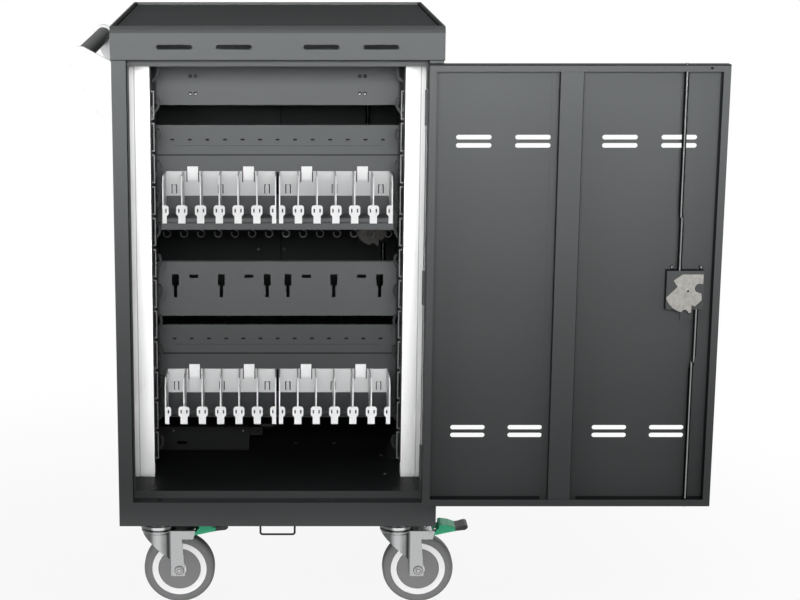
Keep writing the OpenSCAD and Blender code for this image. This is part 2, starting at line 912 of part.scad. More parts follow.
// Door half of the hinges, on the closed front door.
module door_hinge_leaves() {
  mid_l = hinge_l - 2 * end_l - 2 * knuckle_gap;
  plate_x1 = hinge_x - knuckle_r - leaf_clear;
  color(charcoal)
    for (z = hinge_z)
      translate([0, 0, z]) {
        difference() {
          union() {
            translate([hinge_x, hinge_y, -mid_l / 2]) cylinder(r = knuckle_r, h = mid_l, $fn = 32);
            span([plate_x1, hinge_y, -mid_l / 2], [hinge_x, front_y, mid_l / 2]);
          }
          translate([hinge_x, hinge_y, -mid_l]) cylinder(r = pin_r + pin_fit, h = 2 * mid_l, $fn = 32);
        }
        span([plate_x1 - leaf_w + leaf_clear, front_y - sheet, -hinge_l / 2],
             [plate_x1, front_y, hinge_l / 2]);
      }
}

// ---- doors, drawn closed in the front frame ----

module door_sheet() {
  half = door_w / 2;
  z1 = door_z + door_h;
  color(charcoal)
    difference() {
      span([-half, front_y, door_z], [half, dy(door_t), z1]);
      span([-half + thin, dy(thin), door_z + thin], [half - thin, dy(door_t - thin), z1 - thin]);
      span([-half + door_lip, dy(thin), door_z + door_lip],
           [half - door_lip, dy(door_t + 1), z1 - door_lip]);
      vent_cuts(front_y - 1, dy(thin + 1));
      translate([lock_x, front_y - 1, lock_z])
        rotate([-90, 0, 0]) cylinder(r = spindle_r + spindle_fit, h = thin + 2, $fn = 32);
      translate([lock_x + upper_end, dy(rod_v), z1 - 2 * thin])
        cylinder(r = rod_r + rod_fit, h = 3 * thin, $fn = 32);
      translate([lock_x - lower_end, dy(rod_v), door_z - thin])
        cylinder(r = rod_r + rod_fit, h = 3 * thin, $fn = 32);
      translate([-half + 32, dy(door_t / 2), z1 - door_lip / 2])
        rotate([-90, 0, 0]) cylinder(r = 2.4, h = door_t, $fn = 24);
      for (x = [-1, 1], z = [-1, 1])
        translate([x * half, dy(door_t - thin / 2), (door_z + z1) / 2 + z * door_h / 2])
          rotate([0, -x * z * 45, 0]) cube([mitre_gap, 2 * thin, 4 * door_lip], center = true);
    }
}

// Hat shaped channel that stiffens the door skin.
module door_channel() {
  x = 12.6;
  w = stiffener_w / 2;
  v0 = thin;
  v1 = door_t - 2 * thin;
  flange = 12;
  z0 = door_z + thin;
  z1 = door_z + door_h - thin;
  color(charcoal)
    difference() {
      union() {
        span([x - w, dy(v0), z0], [x + w, dy(v1), z1]);
        span([x - w - flange, dy(v0), z0], [x + w + flange, dy(v0 + thin), z1]);
      }
      span([x - w + thin, dy(v0 - 1), z0 - 1], [x + w - thin, dy(v1 - thin), z1 + 1]);
    }
}

box_x = [-28, 36];
box_z = [-33, 34.5];

// Pressed cover over the pinion and the racks, with its fixing tabs.
module lock_cover() {
  wall = 1.5;
  color(charcoal)
    translate([lock_x, 0, lock_z])
      difference() {
        union() {
          span([box_x[0], dy(thin), box_z[0]], [box_x[1], dy(box_top_v + wall), box_z[1]]);
          span([-27, dy(thin), box_z[1]], [-22, dy(8), box_z[1] + 7]);
          span([23, dy(thin), box_z[1]], [28, dy(8), box_z[1] + 7]);
          span([-16, dy(thin), box_z[0] - 22], [8, dy(9), box_z[0]]);
        }
        span([box_x[0] + wall, dy(0), box_z[0] + wall], [box_x[1] - wall, dy(box_top_v), box_z[1] - wall]);
        translate([0, dy(box_top_v - 1), 0])
          rotate([-90, 0, 0]) cylinder(r = spindle_r + spindle_fit, h = wall + 2, $fn = 32);
        translate([upper_shank, dy(rod_v), 0]) cylinder(r = rod_r + rod_fit, h = 60, $fn = 32);
        translate([-lower_shank, dy(rod_v), -60]) cylinder(r = rod_r + rod_fit, h = 60, $fn = 32);
      }
}

function inv(a) = tan(a) * 180 / PI - a;
base_r = pinion_r * cos(20);
root_r = pinion_r - 1.25 * tooth_m;
tip_r = pinion_r + tooth_m;
function flank(r) =
  90 / pinion_teeth + inv(20) - (r > base_r ? inv(acos(base_r / r)) : 0) - backlash * 90 / (PI * pinion_r);

// Involute pinion with a tooth centred on +X.
module pinion_shape() {
  radii = [root_r, base_r, (base_r + pinion_r) / 2, pinion_r, tip_r];
  n = len(radii) - 1;
  polygon([for (i = [0 : pinion_teeth - 1])
    let (a = i * 360 / pinion_teeth)
    for (k = [0 : 2 * n + 1])
      let (j = k <= n ? k : 2 * n + 1 - k, r = radii[j], b = a + (k <= n ? -1 : 1) * flank(r))
      r * [cos(b), sin(b)]]);
}

// Toothed edge of a rod, pitch line at pinion_r, with tooth gaps in line with the pinion's teeth.
module rack_shape(z0, z1) {
  n0 = ceil(z0 / rack_pitch + 0.5);
  n1 = floor(z1 / rack_pitch - 0.5);
  root_x = pinion_r + 1.25 * tooth_m;
  tip_x = pinion_r - tooth_m;
  half = rack_pitch / 4 - backlash / 2;
  lean = tan(20);
  polygon(concat(
    [[root_x + bar_w - 1.25 * tooth_m, z0], [root_x + bar_w - 1.25 * tooth_m, z1], [root_x, z1]],
    [for (i = [n1 : -1 : n0])
      let (z = (i - 0.5) * rack_pitch)
      for (p = [[root_x, half + 1.25 * tooth_m * lean], [tip_x, half - tooth_m * lean],
                [tip_x, -half + tooth_m * lean], [root_x, -half - 1.25 * tooth_m * lean]])
        [p[0], z + p[1]]],
    [[root_x, z0]]));
}

// Cam plate outline: a sector about the spindle with a hooked arm, both cut by round notches.
module cam_shape() {
  difference() {
    union() {
      polygon([[9.7, 28.9], [-25.8, 28.9], [-25.8, 12.7], [-19, 11], [-17.4, -2.5], [-23.6, -4.4],
               [-24.6, -15.7], [-13.3, -27], [-7.5, -24.3], [0, -12], [18, 7], [25, 18.4]]);
      intersection() {
        circle(r = cam_r, $fn = 96);
        polygon([[18, 7], [60, -35], [44, -60], [-7.5, -60], [-7.5, -24.3], [-4, 6]]);
      }
    }
    translate([-19.6, 4.8]) circle(r = 7.9, $fn = 40);
    translate([3.5, -39]) circle(r = 6.2, $fn = 32);
  }
}

// Everything that turns with the lock: outer knob, spindle, pinion and cam plate.
module latch() {
  knob_r = 15;
  color("silver")
    translate([lock_x, 0, lock_z]) {
      difference() {
        union() {
          translate([0, dy(-0.6), 0])
            rotate([-90, 0, 0]) cylinder(r = spindle_r, h = cam_v + cam_t + 0.6, $fn = 32);
          translate([0, dy(cam_v + cam_t), 0]) rotate([90, 0, 0]) linear_extrude(cam_t) cam_shape();
          translate([0, dy(cam_v + cam_t), 0]) rotate([-90, 0, 0]) cylinder(r = 4.4, h = 1.6, $fn = 32);
        }
        translate([0, dy(cam_v - 4), 0]) rotate([-90, 0, 0]) cylinder(r = 1.8, h = 12, $fn = 24);
      }
      translate([0, dy(rod_v + bar_t / 2), 0])
        rotate([90, 0, 0]) linear_extrude(bar_t) pinion_shape();
      difference() {
        union() {
          translate([0, dy(-12.6), 0]) rotate([-90, 0, 0]) cylinder(r = knob_r, h = 12, $fn = 48);
          translate([0, dy(-18.6), 0]) span([-4, 0, -knob_r + 1], [4, 7, knob_r - 1]);
        }
        translate([0, dy(-19.6), 0]) span([-0.8, 0, -4], [0.8, 5, 4]);
      }
    }
}

rack_low = -30;
rack_high = 12;
joggle_low = 115;
joggle_l = 24;
tip_l = 12;

// Rod in the place it has when the lock is open: toothed bar, shank, pressed joggle and tapered tip.
module rod(tip_z, x0, x1) {
  z1 = joggle_low + joggle_l;
  translate([0, bar_t / 2, 0]) rotate([90, 0, 0]) linear_extrude(bar_t) rack_shape(rack_low, rack_high);
  translate([x0, 0, rack_high - 3]) cylinder(r = rod_r, h = joggle_low - rack_high + 3, $fn = 32);
  bar([x0, 0, joggle_low - 1], [x1, 0, z1 + 1], rod_r - 0.15, 32);
  translate([x1, 0, z1]) cylinder(r = rod_r, h = tip_z - tip_l - z1, $fn = 32);
  translate([x1, 0, tip_z - tip_l]) cylinder(r1 = rod_r, r2 = 1.5, h = tip_l, $fn = 32);
}

module upper_rod() {
  color(dark)
    translate([lock_x, dy(rod_v), lock_z]) rod(head_z - rod_run - lock_z, upper_shank, upper_end);
}

// The lower rod is on the pinion's other side.
module lower_rod() {
  color(dark)
    translate([lock_x, dy(rod_v), lock_z])
      rotate([0, 180, 0]) rod(lock_z - sill_z - rod_run, lower_shank, lower_end);
}

// The front door stands open, half a turn about its hinge.
module opened() {
  translate([2 * hinge_x, 2 * hinge_y, 0]) rotate([0, 0, 180]) children();
}

// The rear door is closed in the rear frame.
module at_rear() {
  rotate([0, 0, 180]) children();
}

module front_door_panel() { opened() door_sheet(); }
module front_door_stiffener() { opened() door_channel(); }
module front_door_hinges() { opened() door_hinge_leaves(); }
module front_lock_box() { opened() lock_cover(); }
module front_latch() { opened() latch(); }
module front_upper_rod() { opened() upper_rod(); }
module front_lower_rod() { opened() lower_rod(); }
module rear_door_panel() { at_rear() door_sheet(); }
module rear_door_stiffener() { at_rear() door_channel(); }
module rear_door_hinges() { at_rear() door_hinge_leaves(); }
module rear_lock_box() { at_rear() lock_cover(); }
module rear_latch() { at_rear() latch(); }
module rear_upper_rod() { at_rear() upper_rod(); }
module rear_lower_rod() { at_rear() lower_rod(); }

// ---- casters, drawn about their swivel axis ----

// Fixed half: top plate, flanged bearing cup and king pin.
module caster_plate() {
  plate_x = 92;
  plate_y = 72;
  plate_t = 3;
  z = base_z + 1.5;
  difference() {
    span([-plate_x / 2, -plate_y / 2, z], [plate_x / 2, plate_y / 2, z + plate_t]);
    for (x = [-36, 36], y = [-27, 27])
      translate([x, y, z - 1]) cylinder(r = 4.2, h = plate_t + 2, $fn = 24);
  }
  for (x = [-36, 36], y = [-27, 27]) translate([x, y, z - 5]) cylinder(r = 6.5, h = 5, $fn = 6);
  translate([0, 0, cup_z])
    rotate_extrude($fn = 72)
      polygon([[0, 4], [29, 4], [29, 0], [31, 0], [32.5, 1.5], [32.5, 6], [30, 9], [26, 11],
               [25, z - cup_z], [0, z - cup_z]]);
  translate([0, 0, fork_top - 7]) cylinder(r = swivel_r, h = cup_z - fork_top + 12, $fn = 48);
  translate([0, 0, fork_top - 7]) cylinder(r = 11, h = 3.5, $fn = 48);
}

// Channel under the floor that two casters are bolted to.
module caster_rail() {
  w = rail_w;
  z0 = base_z + 4.5;
  y = body_d / 2 - 22;
  difference() {
    span([-w / 2, -y, z0], [w / 2, y, sill_z - sheet]);
    span([-w / 2 + 2, -y - 1, z0 + 2], [w / 2 - 2, y + 1, sill_z]);
  }
}

module caster_mounts() {
  color(zinc)
    for (c = corners)
      translate([c[0] * track / 2, c[1] * wheelbase / 2, 0]) caster_plate();
  color(charcoal)
    for (s = [-1, 1]) translate([s * track / 2, 0, 0]) caster_rail();
}

// Flat side of the fork: crown above, leg below, with one round lower corner.
module fork_side() {
  r = 5;
  low = axle_z - 11.2;
  x0 = trail - 16.5;
  x1 = trail + 10.5;
  ear_x = trail + 25.5;
  polygon([[trail - 18.5, fork_top], [x0, low + r], [x1, low + r], [trail + 5, 122], [ear_x, 122],
           [ear_x + 5, fork_top + 3.5], [ear_x + 2, fork_top + 3.5], [ear_x + 0.5, fork_top]]);
  polygon([[x0 + r, low], [x1 - 2, low], [x1, low + 2], [x1, low + r], [x0, low + r]]);
  translate([x0 + r, low + r]) circle(r = r, $fn = 32);
}

// Web between the nose and a leg, set back from the leg's outer face.
module fork_web() {
  x1 = trail - 10;
  polygon([[15, fork_top - 1], [15, 90], [trail - 14.5, 80], [x1, 74], [x1, fork_top - 1]]);
}

// Fork: head with a raceway, nose wrapped round the swivel, flat legs, crown and the pedal's pin.
module fork() {
  fit = 0.05;
  out = leg_y + leg_t;
  color(zinc)
    difference() {
      union() {
        translate([0, 0, fork_top - 3]) cylinder(r = fork_r, h = 3, $fn = 64);
        translate([0, 0, fork_top - 8])
          rotate_extrude($fn = 64)
            polygon([[fork_r - leg_t, 0], [fork_r, 0], [30.5, 3], [30.5, 6], [28, 8], [0, 8],
                     [0, 5], [25, 5]]);
        difference() {
          translate([0, 0, 78]) cylinder(r = fork_r, h = fork_top - 78, $fn = 64);
          translate([0, 0, 77]) cylinder(r = fork_r - leg_t, h = fork_top - 80, $fn = 64);
          nose_cut();
          span([16, -leg_y, 0], [60, leg_y, fork_top + 1]);
        }
        for (s = [-1, 1]) {
          translate([0, s * leg_y + (s > 0 ? leg_t : 0), 0])
            rotate([90, 0, 0]) linear_extrude(leg_t) fork_side();
          translate([0, s * leg_y + (s > 0 ? web_t : 0), 0])
            rotate([90, 0, 0]) linear_extrude(web_t) fork_web();
        }
        span([16, -out, fork_top - 3], [pedal_x + 2, out, fork_top]);
      }
      translate([0, 0, fork_top - 10]) cylinder(r = swivel_r + fit, h = 30, $fn = 48);
      translate([trail, -60, axle_z]) rotate([-90, 0, 0]) cylinder(r = axle_r, h = 120, $fn = 32);
    }
  color(zinc)
    for (s = [[2.5, leg_y + 0.5], [3.6, out + 0.9]])
      difference() {
        translate([pedal_x, -s[1], pedal_z]) rotate([-90, 0, 0]) cylinder(r = s[0], h = 2 * s[1], $fn = 32);
        if (s[0] > 3) span([0, -out + 0.4, 0], [2 * trail, out - 0.4, base_z]);
      }
  color("gainsboro") axle_bolt(out);
}

// Axle with a washer and a domed head on each side.
module axle_bolt(out) {
  translate([trail, 0, axle_z]) {
    translate([0, -out - 1, 0]) rotate([-90, 0, 0]) cylinder(r = axle_r, h = 2 * out + 2, $fn = 32);
    for (s = [0, 180])
      rotate([0, 0, s])
        translate([0, -out, 0])
          rotate([90, 0, 0])
            rotate_extrude($fn = 48)
              polygon([[0, 0], [7.6, 0], [7.6, 1.2], [6.4, 1.2], [6.2, 2.8], [5.4, 4], [3.5, 4.8], [0, 5]]);
  }
}

// Removes the nose below the slanted line from the head to the leg.
module nose_cut() {
  translate([0, 60, 0])
    rotate([90, 0, 0])
      linear_extrude(120)
        polygon([[-60, 0], [-60, fork_top], [-fork_r - 2, fork_top - 7], [trail - 14.5, 82],
                 [60, 40], [60, 0]]);
}

ring_out = 48.9;
ring_in = 38.3;
bearing_r = 0.06;

// Tyre with rounded shoulders on its rim.
module tyre() {
  r = 8;
  h = wheel_w / 2;
  color("gray")
    translate([trail, 0, axle_z])
      rotate([90, 0, 0])
        rotate_extrude($fn = 96)
          intersection() {
            translate([ring_out, -h]) square([wheel_r - ring_out, 2 * h]);
            union() {
              translate([ring_out, -h]) square([wheel_r - r - ring_out, 2 * h]);
              translate([ring_out, -h + r]) square([wheel_r - ring_out, 2 * (h - r)]);
              for (s = [-1, 1]) translate([wheel_r - r, s * (h - r)]) circle(r = r, $fn = 40);
            }
          }
}

// Moulded wheel centre: a pale rim ring, a web and the hub.
module core() {
  h = wheel_w / 2 - 1.5;
  hub = wheel_w / 2 + 2.5;
  color(white)
    translate([trail, 0, axle_z])
      rotate([90, 0, 0])
        rotate_extrude($fn = 96)
          polygon([[axle_r + bearing_r, -hub], [12, -hub], [12, -8], [ring_in, -8],
                   [ring_in, -h], [ring_out, -h], [ring_out, h], [ring_in, h],
                   [ring_in, 8], [12, 8], [12, hub], [axle_r + bearing_r, hub]]);
}

// Grey cover discs inside the ring, one on each side.
module caps() {
  h = wheel_w / 2 - 2;
  color("gray")
    for (s = [0, 1])
      translate([trail, 0, axle_z])
        rotate([s * 180 + 90, 0, 0])
          rotate_extrude($fn = 96)
            polygon([[12, 8], [ring_in, 8], [ring_in, h - 1], [ring_in - 1.5, h], [12, h]]);
}

pedal_x = trail + 22;
pedal_z = fork_top - 8;
pedal_split = trail + 66;
pedal_end = trail + wheel_r + 25;

// Brake pedal seen from the side, in front of or behind the line where its grey toe starts.
module pedal_side(toe) {
  x = trail + 27;
  z = base_z;
  intersection() {
    polygon([[pedal_x - 2, z - 33], [x + 6, z - 30.5], [pedal_split - 5, z - 24.3],
             [pedal_end - 5, z - 21.8], [pedal_end - 0.5, z - 18.5], [pedal_end, z - 15.5],
             [pedal_end - 2, z - 13.2], [pedal_end - 6, z - 12.9], [pedal_end - 15, z - 15.8],
             [pedal_split, z - 17.3], [pedal_split - 12, z - 13], [x + 13, z - 11],
             [x + 9, z - 12.5], [x + 9, z - 18.5], [x + 3, z - 25], [pedal_x - 2, z - 25.6]]);
    translate([toe ? pedal_split : 0, 0]) square([toe ? 100 : pedal_split, 2 * z]);
  }
}

// Brake pedal with the eye that turns on the fork's pin: a green lever and a grey toe.
module pedal() {
  w = 2 * leg_y - 1.6;
  color("#3ca06e")
    difference() {
      translate([0, w / 2, 0])
        rotate([90, 0, 0])
          linear_extrude(w) {
            pedal_side(false);
            translate([pedal_x, pedal_z]) circle(r = 4.6, $fn = 32);
          }
      translate([pedal_x, -w, pedal_z]) rotate([-90, 0, 0]) cylinder(r = 2.5 + pin_fit, h = 2 * w, $fn = 32);
    }
  color("dimgray")
    translate([0, w / 2 - 1.5, 0]) rotate([90, 0, 0]) linear_extrude(w - 3) pedal_side(true);
}

module at_corner(i) {
  translate([corners[i][0] * track / 2, corners[i][1] * wheelbase / 2, 0]) children();
}

module front_left_fork() { at_corner(0) fork(); }
module front_left_tyre() { at_corner(0) tyre(); }
module front_left_core() { at_corner(0) core(); }
module front_left_caps() { at_corner(0) caps(); }
module front_left_pedal() { at_corner(0) pedal(); }
module front_right_fork() { at_corner(1) fork(); }
module front_right_tyre() { at_corner(1) tyre(); }
module front_right_core() { at_corner(1) core(); }
module front_right_caps() { at_corner(1) caps(); }
module front_right_pedal() { at_corner(1) pedal(); }
module rear_left_fork() { at_corner(2) fork(); }
module rear_left_tyre() { at_corner(2) tyre(); }
module rear_left_core() { at_corner(2) core(); }
module rear_left_caps() { at_corner(2) caps(); }
module rear_left_pedal() { at_corner(2) pedal(); }
module rear_right_fork() { at_corner(3) fork(); }
module rear_right_tyre() { at_corner(3) tyre(); }
module rear_right_core() { at_corner(3) core(); }
module rear_right_caps() { at_corner(3) caps(); }
module rear_right_pedal() { at_corner(3) pedal(); }

front_frame();
rear_frame();
left_side_panel();
right_side_panel();
base_pan();
top_cap();
front_posts();
cable_guides();
upper_panel();
partitions();
slot_panel();
upper_back_panel();
lower_back_panel();
upper_shelf();
lower_shelf();
upper_modules();
lower_modules();
device_dividers();
power_box();
power_inlet();
outlet_strips();
anchor_loop();
handle_brackets();
handle_tube();
frame_hinges();
caster_mounts();
front_door_panel();
front_door_stiffener();
front_door_hinges();
front_lock_box();
front_latch();
front_upper_rod();
front_lower_rod();
rear_door_panel();
rear_door_stiffener();
rear_door_hinges();
rear_lock_box();
rear_latch();
rear_upper_rod();
rear_lower_rod();
front_left_fork();
front_left_tyre();
front_left_core();
front_left_caps();
front_left_pedal();
front_right_fork();
front_right_tyre();
front_right_core();
front_right_caps();
front_right_pedal();
rear_left_fork();
rear_left_tyre();
rear_left_core();
rear_left_caps();
rear_left_pedal();
rear_right_fork();
rear_right_tyre();
rear_right_core();
rear_right_caps();
rear_right_pedal();
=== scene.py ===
import json
import math

import bpy
import numpy as np
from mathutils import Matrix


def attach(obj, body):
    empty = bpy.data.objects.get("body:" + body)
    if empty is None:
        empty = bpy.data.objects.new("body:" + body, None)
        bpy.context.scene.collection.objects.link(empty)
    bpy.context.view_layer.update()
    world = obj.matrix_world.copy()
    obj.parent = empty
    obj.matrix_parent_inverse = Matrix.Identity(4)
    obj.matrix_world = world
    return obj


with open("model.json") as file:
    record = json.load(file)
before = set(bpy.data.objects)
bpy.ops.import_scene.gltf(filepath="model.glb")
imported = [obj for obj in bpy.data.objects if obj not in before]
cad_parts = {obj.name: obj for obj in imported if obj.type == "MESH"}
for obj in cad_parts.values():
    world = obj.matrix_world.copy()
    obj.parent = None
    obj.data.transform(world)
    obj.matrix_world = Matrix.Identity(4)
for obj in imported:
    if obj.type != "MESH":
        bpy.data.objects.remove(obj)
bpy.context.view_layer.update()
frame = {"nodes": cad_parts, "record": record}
print("frame loaded with", len(frame["nodes"]), "nodes")

cameraLook = {
    "place": (0.0, -3.58367, 1.309),
    "tiltDown": 12.65,
    "sensor": 36,
    "lens": 87.885,
    "shiftX": 0.153,
}


def makeCamera(look):
    data = bpy.data.cameras.new("mainCamera")
    data.sensor_width = look["sensor"]
    data.lens = look["lens"]
    data.shift_x = look["shiftX"]
    camera = bpy.data.objects.new("mainCamera", data)
    camera.location = look["place"]
    camera.rotation_euler = (math.radians(90 - look["tiltDown"]), 0, 0)
    bpy.context.scene.collection.objects.link(camera)
    bpy.context.scene.camera = camera


corners = {
    "front_left": (-0.215, -0.235),
    "front_right": (0.215, -0.235),
    "rear_left": (-0.215, 0.235),
    "rear_right": (0.215, 0.235),
}
rearDoorNodes = ["rear_" + part for part in (
    "door_panel", "door_stiffener", "lock_box", "latch", "upper_rod", "lower_rod")]
casterMetal = ["caster_mounts"] + [corner + "_fork" for corner in corners]
lampLook = {
    "key": {"place": (-0.05, -2.7, 1.4), "target": (0.0, -0.3, 1.33), "size": (2.6, 0.4),
            "power": 12.2, "spread": 52, "leavesOut": rearDoorNodes},
    "reach": {"place": (0.0, -2.7, 1.4), "target": (0.0, -0.3, 1.33), "size": (2.6, 0.4),
              "power": 2.4, "spread": 52},
    "lift": {"place": (0.0, -2.7, 0.5), "target": (0.0, -0.1, 0.3), "size": (2.4, 0.4),
             "power": 3.5, "spread": 40, "onlyFor": ["front_posts", "lower_modules"]},
    "left": {"place": (-2.4, -1.2, 1.3), "target": (0, 0, 0.85), "size": (1.0, 1.0),
             "power": 3.2, "spread": 70},
    "right": {"place": (2.6, -1.0, 1.3), "target": (0.2, 0, 0.85), "size": (1.0, 1.0),
              "power": 0.7, "spread": 70},
    "back": {"place": (0.3, 3.0, 0.6), "target": (0, 0, 0.62), "size": (2.4, 0.4),
             "power": 18, "spread": 80},
    "low": {"place": (0.1, -2.6, 0.12), "target": (0.05, -0.2, 0.03), "size": (2.0, 0.08),
            "power": 0.85, "spread": 9, "leavesOut": casterMetal},
}
linkStates = {"leavesOut": "EXCLUDE", "onlyFor": "INCLUDE"}


# A lamp may leave out some nodes, or light only some.
def makeLamp(name, look):
    data = bpy.data.lights.new(name, "AREA")
    data.shape = "RECTANGLE"
    data.size, data.size_y = look["size"]
    data.energy = look["power"]
    data.spread = math.radians(look["spread"])
    lamp = bpy.data.objects.new(name, data)
    toTarget = np.array(look["target"]) - np.array(look["place"])
    flat = math.hypot(toTarget[0], toTarget[1])
    lamp.location = look["place"]
    lamp.rotation_euler = (
        math.atan2(flat, -toTarget[2]), 0, math.atan2(-toTarget[0], toTarget[1]))
    bpy.context.scene.collection.objects.link(lamp)
    for key, state in linkStates.items():
        if key in look:
            group = bpy.data.collections.new(name + "Group")
            for node in look[key]:
                group.objects.link(frame["nodes"][node])
            lamp.light_linking.receiver_collection = group
            for entry in group.collection_objects:
                entry.light_linking.link_state = state


# Share of white seen: 1 for camera, glossy and transmission rays, 0 for rays that carry light.
def addSeenShare(nodes, links):
    rays = nodes.new("ShaderNodeLightPath")
    share = rays.outputs["Is Camera Ray"]
    for ray in ("Is Glossy Ray", "Is Transmission Ray"):
        widest = nodes.new("ShaderNodeMath")
        widest.operation = "MAXIMUM"
        links.new(share, widest.inputs[0])
        links.new(rays.outputs[ray], widest.inputs[1])
        share = widest.outputs[0]
    return share


def addMix(nodes, links, share, first, second):
    mix = nodes.new("ShaderNodeMixShader")
    links.new(share, mix.inputs[0])
    links.new(first, mix.inputs[1])
    links.new(second, mix.inputs[2])
    return mix.outputs[0]


worldLook = {"strength": 0.24, "white": (1, 1, 1, 1)}


def makeWorld(look):
    world = bpy.data.worlds.new("studio")
    world.use_nodes = True
    bpy.context.scene.world = world
    nodes, links = world.node_tree.nodes, world.node_tree.links
    nodes.clear()
    light = nodes.new("ShaderNodeBackground")
    light.inputs["Color"].default_value = look["white"]
    light.inputs["Strength"].default_value = look["strength"]
    shown = nodes.new("ShaderNodeBackground")
    shown.inputs["Color"].default_value = look["white"]
    seen = addSeenShare(nodes, links)
    out = nodes.new("ShaderNodeOutputWorld")
    links.new(addMix(nodes, links, seen, light.outputs[0], shown.outputs[0]), out.inputs[0])


floorLook = {"half": 9.0, "shadow": 0.1, "near": 0.5, "far": 1.5, "bounce": 0.3, "pale": 0.86}


# Flat pale floor: mostly plain white where it is seen, the rest lit, so that a soft shadow stays.
def makeFloor(look):
    h = look["half"]
    mesh = bpy.data.meshes.new("floor")
    mesh.from_pydata([(-h, -h, 0), (h, -h, 0), (h, h, 0), (-h, h, 0)], [], [(0, 1, 2, 3)])
    floor = bpy.data.objects.new("floor", mesh)
    bpy.context.scene.collection.objects.link(floor)
    material = bpy.data.materials.new("paleFloor")
    material.use_nodes = True
    nodes, links = material.node_tree.nodes, material.node_tree.links
    nodes.clear()
    seen = addSeenShare(nodes, links)
    plain = nodes.new("ShaderNodeBsdfDiffuse")
    bounce = nodes.new("ShaderNodeMapRange")
    bounce.inputs["To Min"].default_value = look["bounce"]
    bounce.inputs["To Max"].default_value = look["pale"]
    links.new(seen, bounce.inputs["Value"])
    links.new(bounce.outputs["Result"], plain.inputs["Color"])
    white = nodes.new("ShaderNodeEmission")
    place = nodes.new("ShaderNodeTexCoord")
    reach = nodes.new("ShaderNodeVectorMath")
    reach.operation = "LENGTH"
    links.new(place.outputs["Object"], reach.inputs[0])
    fade = nodes.new("ShaderNodeMapRange")
    fade.interpolation_type = "SMOOTHSTEP"
    fade.inputs["From Min"].default_value = look["near"]
    fade.inputs["From Max"].default_value = look["far"]
    fade.inputs["To Min"].default_value = 1 - look["shadow"]
    links.new(reach.outputs["Value"], fade.inputs["Value"])
    share = nodes.new("ShaderNodeMath")
    share.operation = "MULTIPLY"
    links.new(seen, share.inputs[0])
    links.new(fade.outputs["Result"], share.inputs[1])
    out = nodes.new("ShaderNodeOutputMaterial")
    mixed = addMix(nodes, links, share.outputs[0], plain.outputs[0], white.outputs[0])
    links.new(mixed, out.inputs[0])
    mesh.materials.append(material)


makeCamera(cameraLook)
for lampName, look in lampLook.items():
    makeLamp(lampName, look)
makeWorld(worldLook)
makeFloor(floorLook)
bpy.context.scene.view_settings.view_transform = "Standard"
print("camera, lamps and floor ready")


def startMaterial(name, look):
    material = bpy.data.materials.new(name)
    material.use_nodes = True
    nodes = material.node_tree.nodes
    shader = nodes["Principled BSDF"]
    shader.inputs["Metallic"].default_value = look.get("metal", 0)
    shader.inputs["Specular IOR Level"].default_value = look.get("gloss", 0.5)
    place = nodes.new("ShaderNodeTexCoord")
    return material, nodes, material.node_tree.links, shader, place


# Noise on Object coordinates, stretched along an axis by dividing that axis' scale.
def addNoise(nodes, links, place, scale, detail, stretch=(1, 1, 1)):
    spread = nodes.new("ShaderNodeMapping")
    spread.inputs["Scale"].default_value = [scale / s for s in stretch]
    links.new(place.outputs["Object"], spread.inputs["Vector"])
    noise = nodes.new("ShaderNodeTexNoise")
    noise.inputs["Scale"].default_value = 1
    noise.inputs["Detail"].default_value = detail
    links.new(spread.outputs[0], noise.inputs["Vector"])
    return noise.outputs["Fac"]


def addRange(nodes, links, source, fromLow, fromHigh, low, high):
    span = nodes.new("ShaderNodeMapRange")
    span.inputs["From Min"].default_value = fromLow
    span.inputs["From Max"].default_value = fromHigh
    span.inputs["To Min"].default_value = low
    span.inputs["To Max"].default_value = high
    links.new(source, span.inputs["Value"])
    return span.outputs["Result"]


def addMath(nodes, links, operation, first, second):
    step = nodes.new("ShaderNodeMath")
    step.operation = operation
    for socket, value in zip(step.inputs, (first, second)):
        if isinstance(value, (int, float)):
            socket.default_value = value
        else:
            links.new(value, socket)
    return step.outputs[0]


def addVector(nodes, links, operation, first, second=None):
    step = nodes.new("ShaderNodeVectorMath")
    step.operation = operation
    links.new(first, step.inputs[0])
    if second is not None:
        step.inputs[1].default_value = second
    return step.outputs["Value" if operation == "LENGTH" else "Vector"]


# Inside a box the share is 1. Outside it falls to 0 over the fade, by the largest of the three
# distances past the box's sides.
def addBoxShare(nodes, links, place, low, high, fade):
    low, high = np.minimum(low, high), np.maximum(low, high)
    off = addVector(nodes, links, "SUBTRACT", place.outputs["Object"], (low + high) / 2)
    size = addVector(nodes, links, "ABSOLUTE", off)
    past = addVector(nodes, links, "SUBTRACT", size, (high - low) / 2)
    parts = nodes.new("ShaderNodeSeparateXYZ")
    links.new(past, parts.inputs[0])
    widest = addMath(nodes, links, "MAXIMUM", parts.outputs[0], parts.outputs[1])
    widest = addMath(nodes, links, "MAXIMUM", widest, parts.outputs[2])
    return addRange(nodes, links, widest, 0, fade, 1, 0)


# Share of 1 within a radius of a line along Y and past a distance from its middle.
def addHeadShare(nodes, links, place, centre, radius, beyond):
    off = addVector(nodes, links, "SUBTRACT", place.outputs["Object"], centre)
    flat = addVector(nodes, links, "MULTIPLY", off, (1, 0, 1))
    near = addMath(nodes, links, "LESS_THAN", addVector(nodes, links, "LENGTH", flat), radius)
    deep = addVector(nodes, links, "MULTIPLY", off, (0, 1, 0))
    past = addMath(nodes, links, "GREATER_THAN", addVector(nodes, links, "LENGTH", deep), beyond)
    return addMath(nodes, links, "MULTIPLY", near, past)


toneSpan = (0.3, 0.7)  # where noise starts and ends the change from dark to pale


